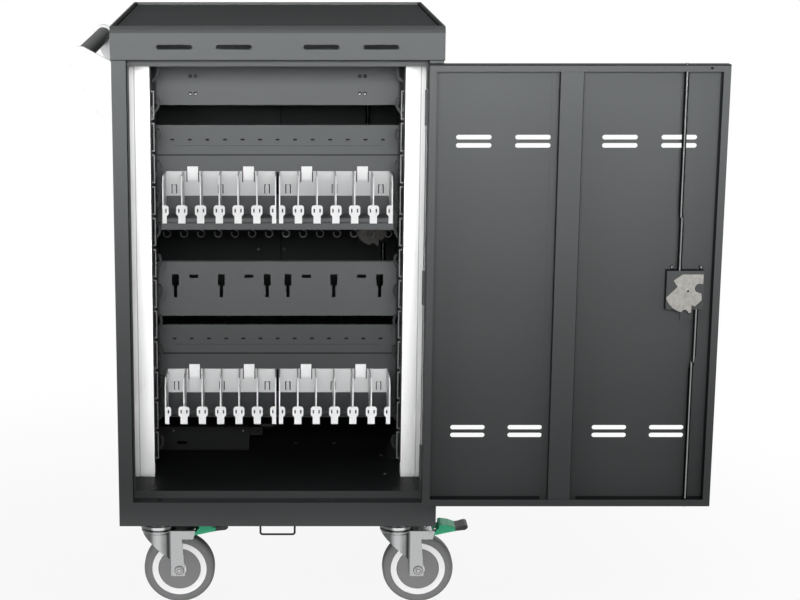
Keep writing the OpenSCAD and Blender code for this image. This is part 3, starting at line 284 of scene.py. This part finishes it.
def addTone(nodes, links, source, dark, pale):
    ramp = nodes.new("ShaderNodeValToRGB")
    for element, position, tone in zip(ramp.color_ramp.elements, toneSpan, (dark, pale)):
        element.position = position
        element.color = (*tone, 1)
    links.new(source, ramp.inputs["Fac"])
    return ramp.outputs["Color"]


# The mix node's colour sockets are its inputs 6 and 7 and its output 2.
def addPatch(nodes, links, share, colour, tone):
    mix = nodes.new("ShaderNodeMix")
    mix.data_type = "RGBA"
    links.new(share, mix.inputs[0])
    links.new(colour, mix.inputs[6])
    mix.inputs[7].default_value = (*tone, 1)
    return mix.outputs[2]


def addBump(nodes, links, height, strength, distance):
    bump = nodes.new("ShaderNodeBump")
    bump.inputs["Strength"].default_value = strength
    bump.inputs["Distance"].default_value = distance
    links.new(height, bump.inputs["Height"])
    return bump.outputs["Normal"]


def paler(tone, factor):
    return tuple(c * factor for c in tone)


patchSockets = {"metal": "Metallic", "gloss": "Specular IOR Level"}
crispFade = 0.0003  # width of a patch's edge where it names none


# Each patch gives where it lies and what differs there: the tone, the metal or the gloss.
def addPatches(nodes, links, place, shader, colour, patches):
    for patch in patches:
        if "radius" in patch:
            share = addHeadShare(
                nodes, links, place, patch["centre"], patch["radius"], patch["beyond"])
        else:
            low, high = np.array(patch["low"]), np.array(patch["high"])
            share = addBoxShare(nodes, links, place, low, high, patch.get("fade", crispFade))
        if "tone" in patch:
            colour = addPatch(nodes, links, share, colour, patch["tone"])
        for key, socket in patchSockets.items():
            if key in patch:
                base = shader.inputs[socket].default_value
                value = addRange(nodes, links, share, 0, 1, base, patch[key])
                links.new(value, shader.inputs[socket])
    links.new(colour, shader.inputs["Base Color"])


# How far the tone and the roughness of each kind of finish swing, how fine its noise is, and how
# deep its relief goes.
powderSwing = {"dark": 0.93, "pale": 1.07, "speck": 0.4, "smooth": 0.05, "dull": 0.07,
               "coarse": 3, "fine": 2, "bump": 0.0004}
drawnSwing = {"dark": 0.84, "pale": 1.1, "line": 0.45, "lines": 0.15, "lineSpan": (0.42, 0.62),
              "smooth": 0.09, "dull": 0.12, "gritSpan": (0.25, 0.75),
              "coarse": 4, "fine": 3, "bump": 0.0003}
mouldSwing = {"dark": 0.95, "pale": 1.04, "along": (1, 1, 3), "smooth": 0.04, "dull": 0.06,
              "coarse": 2, "fine": 2, "bump": 0.0003}


def addRough(nodes, links, shader, source, span, rough, swing):
    value = addRange(nodes, links, source, *span, rough - swing["smooth"], rough + swing["dull"])
    links.new(value, shader.inputs["Roughness"])


# Powder coat: slow drift of tone, fine orange peel and a little sparkle in the gloss.
def powderCoat(name, look, patches=()):
    material, nodes, links, shader, place = startMaterial(name, look)
    swing, tone = powderSwing, look["tone"]
    drift = addNoise(nodes, links, place, look["drift"], swing["coarse"])
    colour = addTone(nodes, links, drift, paler(tone, swing["dark"]), paler(tone, swing["pale"]))
    addPatches(nodes, links, place, shader, colour, patches)
    speck = addNoise(nodes, links, place, look["peel"] * swing["speck"], swing["fine"])
    addRough(nodes, links, shader, speck, toneSpan, look["rough"], swing)
    peel = addNoise(nodes, links, place, look["peel"], swing["fine"])
    relief = addBump(nodes, links, peel, look["peelDepth"], swing["bump"])
    links.new(relief, shader.inputs["Normal"])
    return material


# Drawn metal: fine streaks along one way over cloudy patches.
def drawnMetal(name, look, patches=()):
    material, nodes, links, shader, place = startMaterial(name, look)
    swing, tone = {**drawnSwing, **look}, look["tone"]
    cloud = addNoise(nodes, links, place, look["cloud"], swing["coarse"])
    colour = addTone(nodes, links, cloud, paler(tone, swing["dark"]), paler(tone, swing["pale"]))
    streak = addNoise(nodes, links, place, look["streak"], swing["fine"], look["along"])
    lines = addRange(nodes, links, streak, *swing["lineSpan"], swing["lines"], 0)
    colour = addPatch(nodes, links, lines, colour, paler(tone, swing["line"]))
    addPatches(nodes, links, place, shader, colour, patches)
    addRough(nodes, links, shader, streak, swing["gritSpan"], look["rough"], swing)
    relief = addBump(nodes, links, streak, look["depth"], swing["bump"])
    links.new(relief, shader.inputs["Normal"])
    return material


# Moulded plastic: faint flow marks and a fine spark eroded grain.
def mouldedPlastic(name, look, patches=()):
    material, nodes, links, shader, place = startMaterial(name, look)
    swing, tone = mouldSwing, look["tone"]
    flow = addNoise(nodes, links, place, look["flow"], swing["coarse"], swing["along"])
    colour = addTone(nodes, links, flow, paler(tone, swing["dark"]), paler(tone, swing["pale"]))
    addPatches(nodes, links, place, shader, colour, patches)
    grain = addNoise(nodes, links, place, look["grain"], swing["fine"])
    addRough(nodes, links, shader, grain, toneSpan, look["rough"], swing)
    relief = addBump(nodes, links, grain, look["depth"], swing["bump"])
    links.new(relief, shader.inputs["Normal"])
    return material


charcoal = (0.112, 0.117, 0.119)
finishLook = {
    "charcoal_powder_coat": (powderCoat, {
        "tone": charcoal, "rough": 0.55, "gloss": 0.12,
        "drift": 2.2, "peel": 1500, "peelDepth": 0.16}),
    "dark_wire_coating": (powderCoat, {
        "tone": (0.018, 0.019, 0.021), "rough": 0.55, "gloss": 0.06,
        "drift": 20, "peel": 1200, "peelDepth": 0.12}),
    "white_powder_coat": (powderCoat, {
        "tone": (0.7, 0.705, 0.71), "rough": 0.4, "gloss": 0.4,
        "drift": 8, "peel": 1300, "peelDepth": 0.12}),
    "post_aluminium": (drawnMetal, {
        "tone": (0.98, 0.98, 0.98), "metal": 0.3, "rough": 0.36, "cloud": 6, "streak": 900,
        "along": (1, 1, 60), "depth": 0.06, "dark": 0.97, "pale": 1.0, "lines": 0.05}),
    "black_moulding": (mouldedPlastic, {
        "tone": (0.022, 0.023, 0.025), "rough": 0.48, "gloss": 0.4,
        "flow": 12, "grain": 1800, "depth": 0.14}),
    "white_moulding": (mouldedPlastic, {
        "tone": (0.94, 0.945, 0.95), "rough": 0.38, "gloss": 0.45,
        "flow": 9, "grain": 1600, "depth": 0.08}),
    "handle_sleeve": (mouldedPlastic, {
        "tone": (0.05, 0.052, 0.054), "rough": 0.62, "gloss": 0.35,
        "flow": 10, "grain": 900, "depth": 0.3}),
    "zinc": (drawnMetal, {
        "tone": (0.35, 0.355, 0.357), "metal": 0.9, "rough": 0.24, "cloud": 50, "streak": 1500,
        "along": (1, 1, 60), "depth": 0.03, "lines": 0.16}),
    "cam_steel": (drawnMetal, {
        "tone": (0.39, 0.38, 0.357), "metal": 0.85, "rough": 0.36, "cloud": 160, "streak": 900,
        "along": (1, 1, 14), "depth": 0.1}),
    "rod_steel": (drawnMetal, {
        "tone": (0.3, 0.305, 0.31), "metal": 0.9, "rough": 0.22, "cloud": 40, "streak": 800,
        "along": (1, 1, 20), "depth": 0.1}),
    "grey_tread": (mouldedPlastic, {
        "tone": (0.2, 0.2, 0.203), "rough": 0.72, "gloss": 0.3,
        "flow": 14, "grain": 700, "depth": 0.3}),
    "wheel_centre": (mouldedPlastic, {
        "tone": (0.97, 0.97, 0.97), "rough": 0.42, "flow": 16, "grain": 1500, "depth": 0.1}),
    "wheel_cover": (mouldedPlastic, {
        "tone": (0.17, 0.17, 0.173), "rough": 0.46, "flow": 16, "grain": 1500, "depth": 0.1}),
    "green_lever": (mouldedPlastic, {
        "tone": (0.09, 0.62, 0.33), "rough": 0.6, "gloss": 0.04,
        "flow": 24, "grain": 1500, "depth": 0.1}),
}

# Tones painted on parts of a node. Painted shade: in folds, gaps, rebates and grooves, behind the
# guides, along the cap's rolled edge and on the cabinet floor. Painted highlight: on the cable
# guide rings.
# The power box is painted darker, brass is the inlet's contacts' own colour, and some nodes carry
# two metals.
paintedShade = (0.012, 0.013, 0.014)
shadeTone = (0.03, 0.031, 0.032)
paintedEdgeShade = (0.06, 0.062, 0.063)
paintedRebateShade = (0.06, 0.062, 0.064)
paintedFloorShade = (0.014, 0.015, 0.016)
boxTone = (0.034, 0.035, 0.036)
paintedGuideHighlight = (0.3, 0.305, 0.31)
paintedGrooveShade = (0.5, 0.5, 0.5)
brassTone = (0.62, 0.42, 0.16)
brightEdge = (0.75, 0.76, 0.77)


# A box given by its spans across, in depth and in height.
def boxPatch(x, y, z, **differs):
    return {"low": (x[0], y[0], z[0]), "high": (x[1], y[1], z[1]), **differs}


# The same box left and right of the middle.
def pairPatch(x, y, z, **differs):
    return [boxPatch((s * x[0], s * x[1]), y, z, **differs) for s in (-1, 1)]


def headPatch(centre, radius, beyond=0, **differs):
    return {"centre": centre, "radius": radius, "beyond": beyond, **differs}


# Twice the middle of each door's half turn, across and in depth.
doorTurn = {"front": (0.505, -0.304), "rear": (0, 0.295)}


# A box given on the closed front door (x across, v in from its outer face, z up), carried to where
# the front door stands open or the rear door is closed: both are a half turn about an upright line.
def doorPatch(side, x, v, z, **differs):
    turnX, turnY = doorTurn[side]
    return boxPatch((turnX - x[1], turnX - x[0]), (turnY - v[1], turnY - v[0]), z, **differs)


wide = (-0.28, 0.28)
shelfWide, shelfEdge = (-0.24, 0.24), (0.2565, 0.25945)
partitionTops, partitionEdge = (0.8423, 0.4693), (-0.0011, 0.0004)
capWide, capInner = (-0.283, 0.283), (-0.281, 0.281)
sillWide = (-0.2555, 0.2555)
patchLook = {
    # Painted shade on the cabinet floor.
    "base_pan": [boxPatch((-0.279, 0.279), (-0.269, 0.269), (0.2035, 0.2045), tone=paintedFloorShade)],
    # Painted shade along the back panels' top edges.
    "upper_back_panel": [boxPatch(wide, (-0.0476, -0.0455), (0.7858, 0.79), tone=paintedShade)],
    "lower_back_panel": [boxPatch(wide, (-0.0476, -0.0455), (0.4128, 0.417), tone=paintedShade)],
    "caster_mounts": [
        boxPatch((-0.3, 0.3), (-0.3, 0.3), (0.1644, 0.21), tone=charcoal, metal=0)],
    "power_inlet": [boxPatch((-0.2761, -0.2619), (0.0868, 0.1032), (0.2229, 0.2331),
                             tone=brassTone, metal=0.9)],
    "upper_shelf": [boxPatch(shelfWide, shelfEdge, (0.57, 0.616), tone=brightEdge, metal=0.5)],
    "lower_shelf": [boxPatch(shelfWide, shelfEdge, (0.215, 0.261), tone=brightEdge, metal=0.5)],
    # Painted highlight on the cable guide rings' bars.
    "cable_guides": pairPatch((0.2183, 0.2238), (-0.1375, -0.1325), (0.2, 1), tone=paintedGuideHighlight),
    # Painted shade in the front posts' grooves.
    "front_posts": pairPatch((0.2512, 0.2536), (-0.1455, -0.144), (0.2, 1), tone=paintedGrooveShade),
    # Painted shade along the partitions' top edges.
    "partitions": [boxPatch(wide, (-0.047, -0.044), [top + z for z in partitionEdge],
                            tone=paintedShade) for top in partitionTops],
    # The power box is painted darker than the case.
    "power_box": [boxPatch((-0.28, 0.1), (0, 0.3), (0.2, 0.3), tone=boxTone)],
    # On the top cap: no gloss on the top, painted shade on the rolled front edge, and painted shade
    # along the top's rims, under the cap and at its sides.
    "top_cap": [
        boxPatch((-0.2775, 0.2775), (-0.284, 0.284), (1.0335, 1.0352), gloss=0),
        boxPatch(capWide, (-0.2975, -0.284), (1.0298, 1.041), tone=paintedEdgeShade, fade=0.0015),
        boxPatch(capInner, (-0.2845, -0.2825), (1.0346, 1.041), tone=paintedShade),
        boxPatch(capInner, (0.2795, 0.2835), (1.0345, 1.041), tone=paintedShade),
        boxPatch(capWide, (-0.2975, -0.2955), (0.9825, 0.9842), tone=paintedShade),
        *pairPatch((0.2745, 0.284), (-0.2865, 0.287), (1.034, 1.0415), tone=paintedShade),
    ],
    # Painted shade down the jambs' inner edges and in the sill's rebate.
    "front_frame": [
        *pairPatch((0.2537, 0.2555), (-0.2946, -0.2715), (0.2, 0.984), tone=paintedShade),
        boxPatch(sillWide, (-0.2946, -0.2705), (0.2032, 0.2045), tone=paintedRebateShade),
        boxPatch(sillWide, (-0.2946, -0.2905), (0.2032, 0.2045), tone=paintedShade),
    ],
}

# The comb modules' back plates are painted greyer than their clips as painted shade between the
# fins, with the tabs left near white, and painted shade lies on the back panels behind them.
backPlateLook = {
    "trays": {"upper": 0.677, "lower": 0.304}, "rise": 0.0347, "height": 0.045, "half": 0.215,
    "front": -0.0499, "back": -0.0465, "lip": 0.0004, "plate": (0.68, 0.685, 0.69),
    "tabs": (-0.1552, -0.0532, 0.0532, 0.1552), "tabHalf": 0.0075, "tabSpan": (-0.013, 0.01),
    "tab": (0.9, 0.905, 0.91), "tabFade": 0.005,
    "behind": (-0.0476, -0.0457), "behindHalf": 0.207, "margin": 0.002,
}


def dressModules(look):
    half, tabHalf = look["half"], look["tabHalf"]
    deep = (look["front"], look["back"])
    for row, trayTop in look["trays"].items():
        bottom = trayTop + look["rise"]
        top = bottom + look["height"]
        patchLook[row + "_modules"] = [
            boxPatch((-half, half), deep, (bottom, top - look["lip"]), tone=look["plate"])]
        tabSpan = [top + z for z in look["tabSpan"]]
        patchLook[row + "_modules"] += [
            boxPatch((x - tabHalf, x + tabHalf), deep, tabSpan, tone=look["tab"],
                     fade=look["tabFade"]) for x in look["tabs"]]
        levels = (bottom + look["margin"], top - look["margin"])
        patchLook[row + "_back_panel"].append(boxPatch(
            (-look["behindHalf"], look["behindHalf"]), look["behind"], levels, tone=paintedShade))


dressModules(backPlateLook)

# Painted shade: dark rims round the four holes of each cluster on the upper panel.
clusterLook = {"x": 0.1535, "y": -0.05, "z": 0.9147, "across": 0.0048, "up": 0.0158,
               "rim": 0.0033}
patchLook["upper_panel"] = [
    headPatch((s * clusterLook["x"] + x, clusterLook["y"], clusterLook["z"] + z),
              clusterLook["rim"], tone=paintedShade)
    for s in (-1, 1)
    for x in (-clusterLook["across"], clusterLook["across"])
    for z in (-clusterLook["up"], clusterLook["up"])]

# Painted light: the inner sheets are painted a little paler than the case. Painted shade: their
# ends lie dark behind the guides.
paintedLitSheets = {"upper_panel": 1.25, "partitions": 1.25, "slot_panel": 1.55,
               "upper_back_panel": 1.2, "lower_back_panel": 1.2}
for sheet in paintedLitSheets:
    patchLook.setdefault(sheet, []).extend(pairPatch(
        (0.2225, 0.29), (-0.0485, -0.04), (0.2, 1), tone=shadeTone, fade=0.005))

# On the closed front door: painted shade inside its folded edges, along its top edge, in the
# channel's corners and round the lock cover, and painted shade along both sides of the rods'
# straight lengths, given by their place across and their levels.
doorLook = {
    "folds": [((0.239, 0.2504), (0.208, 0.979)), ((-0.2504, -0.239), (0.208, 0.979)),
              ((-0.2504, 0.2504), (0.9675, 0.979)), ((-0.2504, 0.2504), (0.208, 0.2195))],
    "foldDepth": (0.00125, 0.0207),
    "topEdge": ((-0.252, 0.252), (-0.0005, 0.0225), (0.9776, 0.98)),
    "channel": [((-0.0072, 0.0324), (0.0026, 0.0188)), ((-0.0075, -0.0062), (0.018, 0.0225))],
    "channelLevels": (0.2, 0.98),
    "cover": ((-0.224, -0.159), (0.003, 0.0183), (0.56, 0.629)),
    "rods": {"upper_rod": [(-0.181, (0.62, 0.72)), (-0.179, (0.72, 1))],
             "lower_rod": [(-0.2125, (0.4665, 0.57)), (-0.2085, (0.18, 0.4665))]},
    "rodEdge": (0.0012, 0.0046), "rodDepth": (0, 0.03), "rodTone": (0.008, 0.008, 0.009),
}
lockLook = {
    "level": 0.5935, "pivotRadius": 0.0019, "tabX": (-0.0245, 0.0255), "tabLevel": 0.6315,
    "front": {"x": 0.7005, "pivotY": -0.3, "tabY": -0.312, "plateY": -0.304},
    "rear": {"x": 0.1955, "pivotY": 0.3, "tabY": 0.287, "plateY": 0.295},
}


def dressDoor(side, look):
    patchLook[side + "_door_panel"] = [
        doorPatch(side, x, look["foldDepth"], z, tone=paintedShade) for x, z in look["folds"]]
    patchLook[side + "_door_panel"].append(doorPatch(side, *look["topEdge"], tone=paintedShade))
    patchLook[side + "_door_stiffener"] = [
        doorPatch(side, x, v, look["channelLevels"], tone=paintedShade) for x, v in look["channel"]]
    patchLook[side + "_lock_box"] = [doorPatch(side, *look["cover"], tone=paintedShade)]
    lock = lockLook[side]
    # Painted shade in the latch's pivot hole.
    patchLook[side + "_latch"] = [headPatch(
        (lock["x"], lock["pivotY"], lockLook["level"]), lockLook["pivotRadius"],
        tone=paintedShade, metal=0)]
    # Painted shade along both sides of each rod's straight lengths.
    for rod, lengths in look["rods"].items():
        patchLook[side + "_" + rod] = [
            doorPatch(side, sorted(x + s * e for e in look["rodEdge"]), look["rodDepth"], z,
                      tone=look["rodTone"], metal=0, gloss=0)
            for x, z in lengths for s in (-1, 1)]


for side in ("front", "rear"):
    dressDoor(side, doorLook)

# Boxes on a caster lie by their distance from its swivel line.
casterLook = {
    "pad": ((0.1039, 0.15), (0.1, 0.16), (0.1, 0.1, 0.102)),
    # Painted shade on the top of the fork's crown.
    "crown": ((0.012, 0.07), 0.03, (0.1378, 0.1402)),
    # Painted light and shade on the fork: a paler leg, a darker nose with a painted highlight band,
    # and a painted shade line beside the leg.
    "fork": [
        ((0.0235, 0.07), 0.1366, (0.56, 0.565, 0.57), 0.0015),
        ((-0.04, -0.014), 0.134, (0.13, 0.133, 0.135), 0.007),
        ((-0.003, 0.003), 0.134, (0.6, 0.61, 0.615), 0.008),
        ((0.0175, 0.0195), 0.134, (0.06, 0.062, 0.064), 0.0045),
    ],
    # Painted shade and painted highlight rings round the axle bolt.
    "axle": {"x": 0.038, "z": 0.0635, "beyond": 0.0224,
             "rings": ((0.0086, 0.05), (0.0074, 0.6), (0.0042, 0.1), (0.0031, 0.6))},
    # Painted shade on the swivel cup, with a painted highlight at its front.
    "cup": [
        ((-0.04, 0.04), 0.1555, (0.14, 0.143, 0.146), 0.002),
        ((-0.006, 0.009), 0.1565, (0.85, 0.86, 0.865), 0.006),
    ],
    "padHalf": 0.03, "forkHalf": 0.04, "forkBottom": 0.05, "cupHalf": 0.05, "cupBottom": 0.1385,
}


def dressCaster(corner, atX, atY, look):
    def placed(x, half, z, **differs):
        return boxPatch((atX + x[0], atX + x[1]), (atY - half, atY + half), z, **differs)

    padX, padZ, padTone = look["pad"]
    patchLook[corner + "_pedal"] = [placed(padX, look["padHalf"], padZ, tone=padTone)]
    axle = look["axle"]
    patchLook[corner + "_fork"] = [
        placed(*look["crown"], tone=paintedShade, metal=0),
        *[placed(x, look["forkHalf"], (look["forkBottom"], top), tone=tone, fade=fade)
          for x, top, tone, fade in look["fork"]],
        *[headPatch((atX + axle["x"], atY, axle["z"]), radius, axle["beyond"], tone=(grey,) * 3)
          for radius, grey in axle["rings"]],
    ]
    patchLook["caster_mounts"] += [
        placed(x, look["cupHalf"], (look["cupBottom"], top), tone=tone, fade=fade)
        for x, top, tone, fade in look["cup"]]


for corner, (x, y) in corners.items():
    dressCaster(corner, x, y, casterLook)

finishes = {name: maker(name, look) for name, (maker, look) in finishLook.items()}
for subpart in frame["record"]["subparts"]:
    node, slot = subpart["node"], subpart["material_slot"]
    material = finishes[slot]
    if node in patchLook:
        maker, look = finishLook[slot]
        # Painted light: these sheets take paler copies of the case's finish.
        if node in paintedLitSheets:
            look = {**look, "tone": paler(look["tone"], paintedLitSheets[node])}
        material = maker(slot + "_" + node, look, patchLook[node])
    mesh = frame["nodes"][node].data
    mesh.materials.clear()
    mesh.materials.append(material)


# Faces of a grid of rows by columns whose columns close on themselves, and its rows too if closed.
def gridQuads(rows, columns, closed=False):
    row = np.arange(rows if closed else rows - 1)[:, None]
    column = np.arange(columns)[None, :]
    here, above = row * columns, (row + 1) % rows * columns
    beside = (column + 1) % columns
    quads = np.stack([here + column, here + beside, above + beside, above + column], -1)
    return quads.reshape(-1, 4)


# Rings of points with a pole below and above: the first and last rings close on the poles by fans.
def capRings(rings, lowPole, highPole):
    rows, columns = rings.shape[:2]
    count = rows * columns
    points = np.concatenate([rings.reshape(-1, 3), [lowPole, highPole]])
    j = np.arange(columns)
    k = (j + 1) % columns
    low = np.stack([np.full(columns, count), k, j], -1)
    last = count - columns
    high = np.stack([np.full(columns, count + 1), last + j, last + k], -1)
    return points, gridQuads(rows, columns).tolist() + low.tolist() + high.tolist()


# A profile of radius r and height h taken round the axis: x = r cos a, y = r sin a, z = h.
def profileRings(profile, count):
    radius, height = np.array(profile, float).T
    angle = np.linspace(0, 2 * np.pi, count, endpoint=False)
    x, y = radius[:, None] * np.cos(angle), radius[:, None] * np.sin(angle)
    return np.stack([x, y, height[:, None] + 0 * angle], -1)


# A turned shape whose profile runs from the lower pole round to the upper one.
def turned(profile, count):
    rings = profileRings(profile, count)
    return capRings(rings[1:-1], (0, 0, profile[0][1]), (0, 0, profile[-1][1]))


# A turned ring: its profile is a closed loop that never meets the axis.
def turnedRing(profile, count):
    rings = profileRings(profile, count)
    return rings.reshape(-1, 3), gridQuads(len(profile), count, True).tolist()


headShape = {"rings": (1, 0.8, 0.62, 0.58, 0.42, 0.26), "count": 24, "dome": 0.92,
             "seat": 0.0002}


# Pan head with a cross: the dome is h times the root of 1 - (0.92 f) squared at the fraction f of
# the radius, and it drops by the cross' depth where |x| or |y| is less than the arm's half width.
def screwHead(radius, height, arm, reach, depth):
    angle = np.linspace(0, 2 * np.pi, headShape["count"], endpoint=False)
    part = np.array(headShape["rings"])[:, None]
    x, y = radius * part * np.cos(angle), radius * part * np.sin(angle)
    inCross = ((abs(x) < arm) | (abs(y) < arm)) & (part < reach)
    z = height * np.sqrt(1 - (headShape["dome"] * part) ** 2) - depth * inCross
    seat = np.stack([x[:1], y[:1], 0 * x[:1] - headShape["seat"]], -1)
    rings = np.concatenate([seat, np.stack([x, y, z], -1)])
    return capRings(rings, (0, 0, -headShape["seat"]), (0, 0, height - depth))


# Copies of a shape at many spots: its z runs along the given way, and each copy is turned about it.
def repeated(shape, spots, way, turn=0.0):
    points, faces = shape
    spots = np.array(spots, float)
    way = np.array(way, float)
    across = np.array((0, 0, 1.0)) if way[2] == 0 else np.array((1.0, 0, 0))
    third = np.cross(way, across)
    angle = turn * np.arange(len(spots))[:, None]
    x = points[:, 0] * np.cos(angle) - points[:, 1] * np.sin(angle)
    y = points[:, 0] * np.sin(angle) + points[:, 1] * np.cos(angle)
    alongWay = points[:, 2][:, None] * way
    placed = spots[:, None] + x[..., None] * across + y[..., None] * third + alongWay
    allFaces = [[i + s * len(points) for i in face] for s in range(len(spots)) for face in faces]
    return placed.reshape(-1, 3), allFaces


def joined(shapes):
    points, faces, start = [], [], 0
    for shapePoints, shapeFaces in shapes:
        points.append(shapePoints)
        faces += [[i + start for i in face] for face in shapeFaces]
        start += len(shapePoints)
    return np.concatenate(points), faces


sharpAngle = 35  # degrees between faces past which an edge stays crisp


def addPiece(name, shape, slot, body):
    points, faces = shape
    mesh = bpy.data.meshes.new(name)
    mesh.from_pydata(points.tolist(), [], faces)
    mesh.polygons.foreach_set("use_smooth", [True] * len(faces))
    mesh.set_sharp_from_angle(angle=math.radians(sharpAngle))
    mesh.materials.append(finishes[slot])
    piece = bpy.data.objects.new(name, mesh)
    bpy.context.scene.collection.objects.link(piece)
    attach(piece, body)


# The rear side is the front side after half a turn about the cart's middle.
halfTurn = np.array((-1, -1, 1))
bothTurns = (np.ones(3), halfTurn)

screwLook = {"radius": 0.0036, "height": 0.0017, "arm": 0.0005, "reach": 0.6, "depth": 0.0009}
smallScrewLook = {"radius": 0.0021, "height": 0.0012, "arm": 0.00035, "reach": 0.6,
                  "depth": 0.0006}
screwTurn = 2.4  # radians from one screw's cross to the next
screw, smallScrew = screwHead(**screwLook), screwHead(**smallScrewLook)

hingeLook = {"levels": (0.2825, 0.5935, 0.9045), "holes": (-0.021, 0, 0.021), "half": 0.03,
             "leafX": 0.2682, "frameY": -0.2965, "openY": -0.3025, "shutY": 0.2965,
             "pinX": 0.2525, "pinY": -0.2995}
holeLevels = [level + hole for level in hingeLook["levels"] for hole in hingeLook["holes"]]
frameLeaves = np.array([(hingeLook["leafX"], hingeLook["frameY"], z) for z in holeLevels])
openLeaves = [(hingeLook["leafX"], hingeLook["openY"], z) for z in holeLevels]
shutX = hingeLook["leafX"] - 2 * hingeLook["pinX"]
shutLeaves = [(shutX, hingeLook["shutY"], z) for z in holeLevels]

handleLook = {"x": -0.285, "ends": (-0.259, 0.142), "levels": (0.916, 0.956)}
handleSpots = [(handleLook["x"], y, z) for y in handleLook["ends"] for z in handleLook["levels"]]
inletLook = {"x": -0.282, "middle": 0.095, "away": 0.0275, "level": 0.227}
inletSpots = [(inletLook["x"], inletLook["middle"] + s * inletLook["away"], inletLook["level"])
              for s in (-1, 1)]
panLook = {"level": 0.204, "spots": (
    (0.035, 0.066), (0.11, 0.066), (0.197, -0.015), (0.219, -0.034), (0.1985, -0.131))}
panSpots = [(x, y, panLook["level"]) for x, y in panLook["spots"]]
boxLook = {"front": 0.023, "x": (-0.2, -0.066), "level": 0.242}
boxSpots = [(x, boxLook["front"], boxLook["level"]) for x in boxLook["x"]]
addPiece("cabinet_screws", joined([
    repeated(screw, frameLeaves, (0, -1, 0), screwTurn),
    repeated(screw, frameLeaves * halfTurn, (0, 1, 0), screwTurn),
    repeated(screw, handleSpots, (-1, 0, 0), screwTurn),
    repeated(screw, inletSpots, (-1, 0, 0), screwTurn),
    repeated(screw, panSpots, (0, 0, 1), screwTurn),
    repeated(smallScrew, boxSpots, (0, -1, 0), screwTurn),
]), "zinc", "cabinet")

for side, leaves in (("front", openLeaves), ("rear", shutLeaves)):
    lock = lockLook[side]
    tabs = [(lock["x"] - x, lock["tabY"], lockLook["tabLevel"]) for x in lockLook["tabX"]]
    addPiece(side + "_door_screws", joined([
        repeated(screw, leaves, (0, 1, 0), screwTurn),
        repeated(smallScrew, tabs, (0, -1, 0), screwTurn),
    ]), "zinc", side + "_door")

pinLook = {"count": 24, "profile": [
    (0, -0.0002), (0.0031, -0.0002), (0.0031, 0.0007), (0.0026, 0.0014), (0.0014, 0.0018),
    (0, 0.0019)]}
pinHead = turned(pinLook["profile"], pinLook["count"])
pinSpots = np.array([(hingeLook["pinX"], hingeLook["pinY"], z) for z in hingeLook["levels"]])
rise = np.array((0, 0, hingeLook["half"]))
addPiece("hinge_pin_heads", joined([
    repeated(pinHead, pinSpots * turn + sign * rise, (0, 0, sign))
    for turn in bothTurns for sign in (-1, 1)]), "zinc", "cabinet")

hingeRodLook = {"count": 20, "profile": [
    (0, 0.2515), (0.0019, 0.2515), (0.0019, 0.9355), (0, 0.9355)]}
hingeRod = turned(hingeRodLook["profile"], hingeRodLook["count"])
rodSpots = [np.array((hingeLook["pinX"], hingeLook["pinY"], 0)) * turn for turn in bothTurns]
addPiece("hinge_rods", repeated(hingeRod, rodSpots, (0, 0, 1)), "zinc", "cabinet")
print("screws, pin heads and hinge rods made")

weldLook = {"count": 16, "profile": [
    (0, -0.0001), (0.0032, -0.0001), (0.003, 0.0002), (0.0021, 0.0004), (0.001, 0.00035),
    (0, 0.0003)], "x": (-0.0129, 0.0381), "low": 0.2485, "pitch": 0.0986, "rows": 8,
    "face": {"front": -0.3064, "rear": 0.2926}}
weld = turned(weldLook["profile"], weldLook["count"])
weldLevels = weldLook["low"] + weldLook["pitch"] * np.arange(weldLook["rows"])
for side, faceY in weldLook["face"].items():
    spots = [(doorTurn[side][0] - x, faceY, z) for x in weldLook["x"] for z in weldLevels]
    addPiece(side + "_door_weld_spots", repeated(weld, spots, (0, -1, 0)),
             "charcoal_powder_coat", side + "_door")

knobPlateLook = {"count": 48, "profile": [
    (0.0156, 0), (0.0205, 0), (0.0205, 0.0012), (0.0192, 0.002), (0.0166, 0.002),
    (0.0156, 0.0014)]}
knobPlate = turnedRing(knobPlateLook["profile"], knobPlateLook["count"])
for side in ("front", "rear"):
    spot = (lockLook[side]["x"], lockLook[side]["plateY"], lockLook["level"])
    addPiece(side + "_knob_plate", repeated(knobPlate, [spot], (0, 1, 0)), "zinc", side + "_door")

grommetLook = {"count": 48, "spot": (-0.02, 0.185, 0.204), "profile": [
    (0.0132, -0.0025), (0.0158, -0.0025), (0.0158, 0.0001), (0.0195, 0.0001), (0.0195, 0.0012),
    (0.0178, 0.0022), (0.0146, 0.0022), (0.0132, 0.0008)]}
grommet = turnedRing(grommetLook["profile"], grommetLook["count"])
addPiece("cable_grommet", repeated(grommet, [grommetLook["spot"]], (0, 0, 1)),
         "black_moulding", "cabinet")

footLook = {"count": 14, "profile": [
    (0.0021, -0.0002), (0.0055, -0.0002), (0.0055, 0.0012), (0.0034, 0.0042), (0.0021, 0.0046)],
    "y": 0.145, "levels": (0.6645, 0.2915), "pitch": 0.032, "number": 13}
foot = turnedRing(footLook["profile"], footLook["count"])
footX = (np.arange(footLook["number"]) - (footLook["number"] - 1) / 2) * footLook["pitch"]
footSpots = [(x, footLook["y"], z) for z in footLook["levels"] for x in footX]
addPiece("divider_feet", repeated(foot, footSpots, (0, 0, 1)), "black_moulding", "cabinet")
print("weld spots, knob plates, grommet and divider feet made")
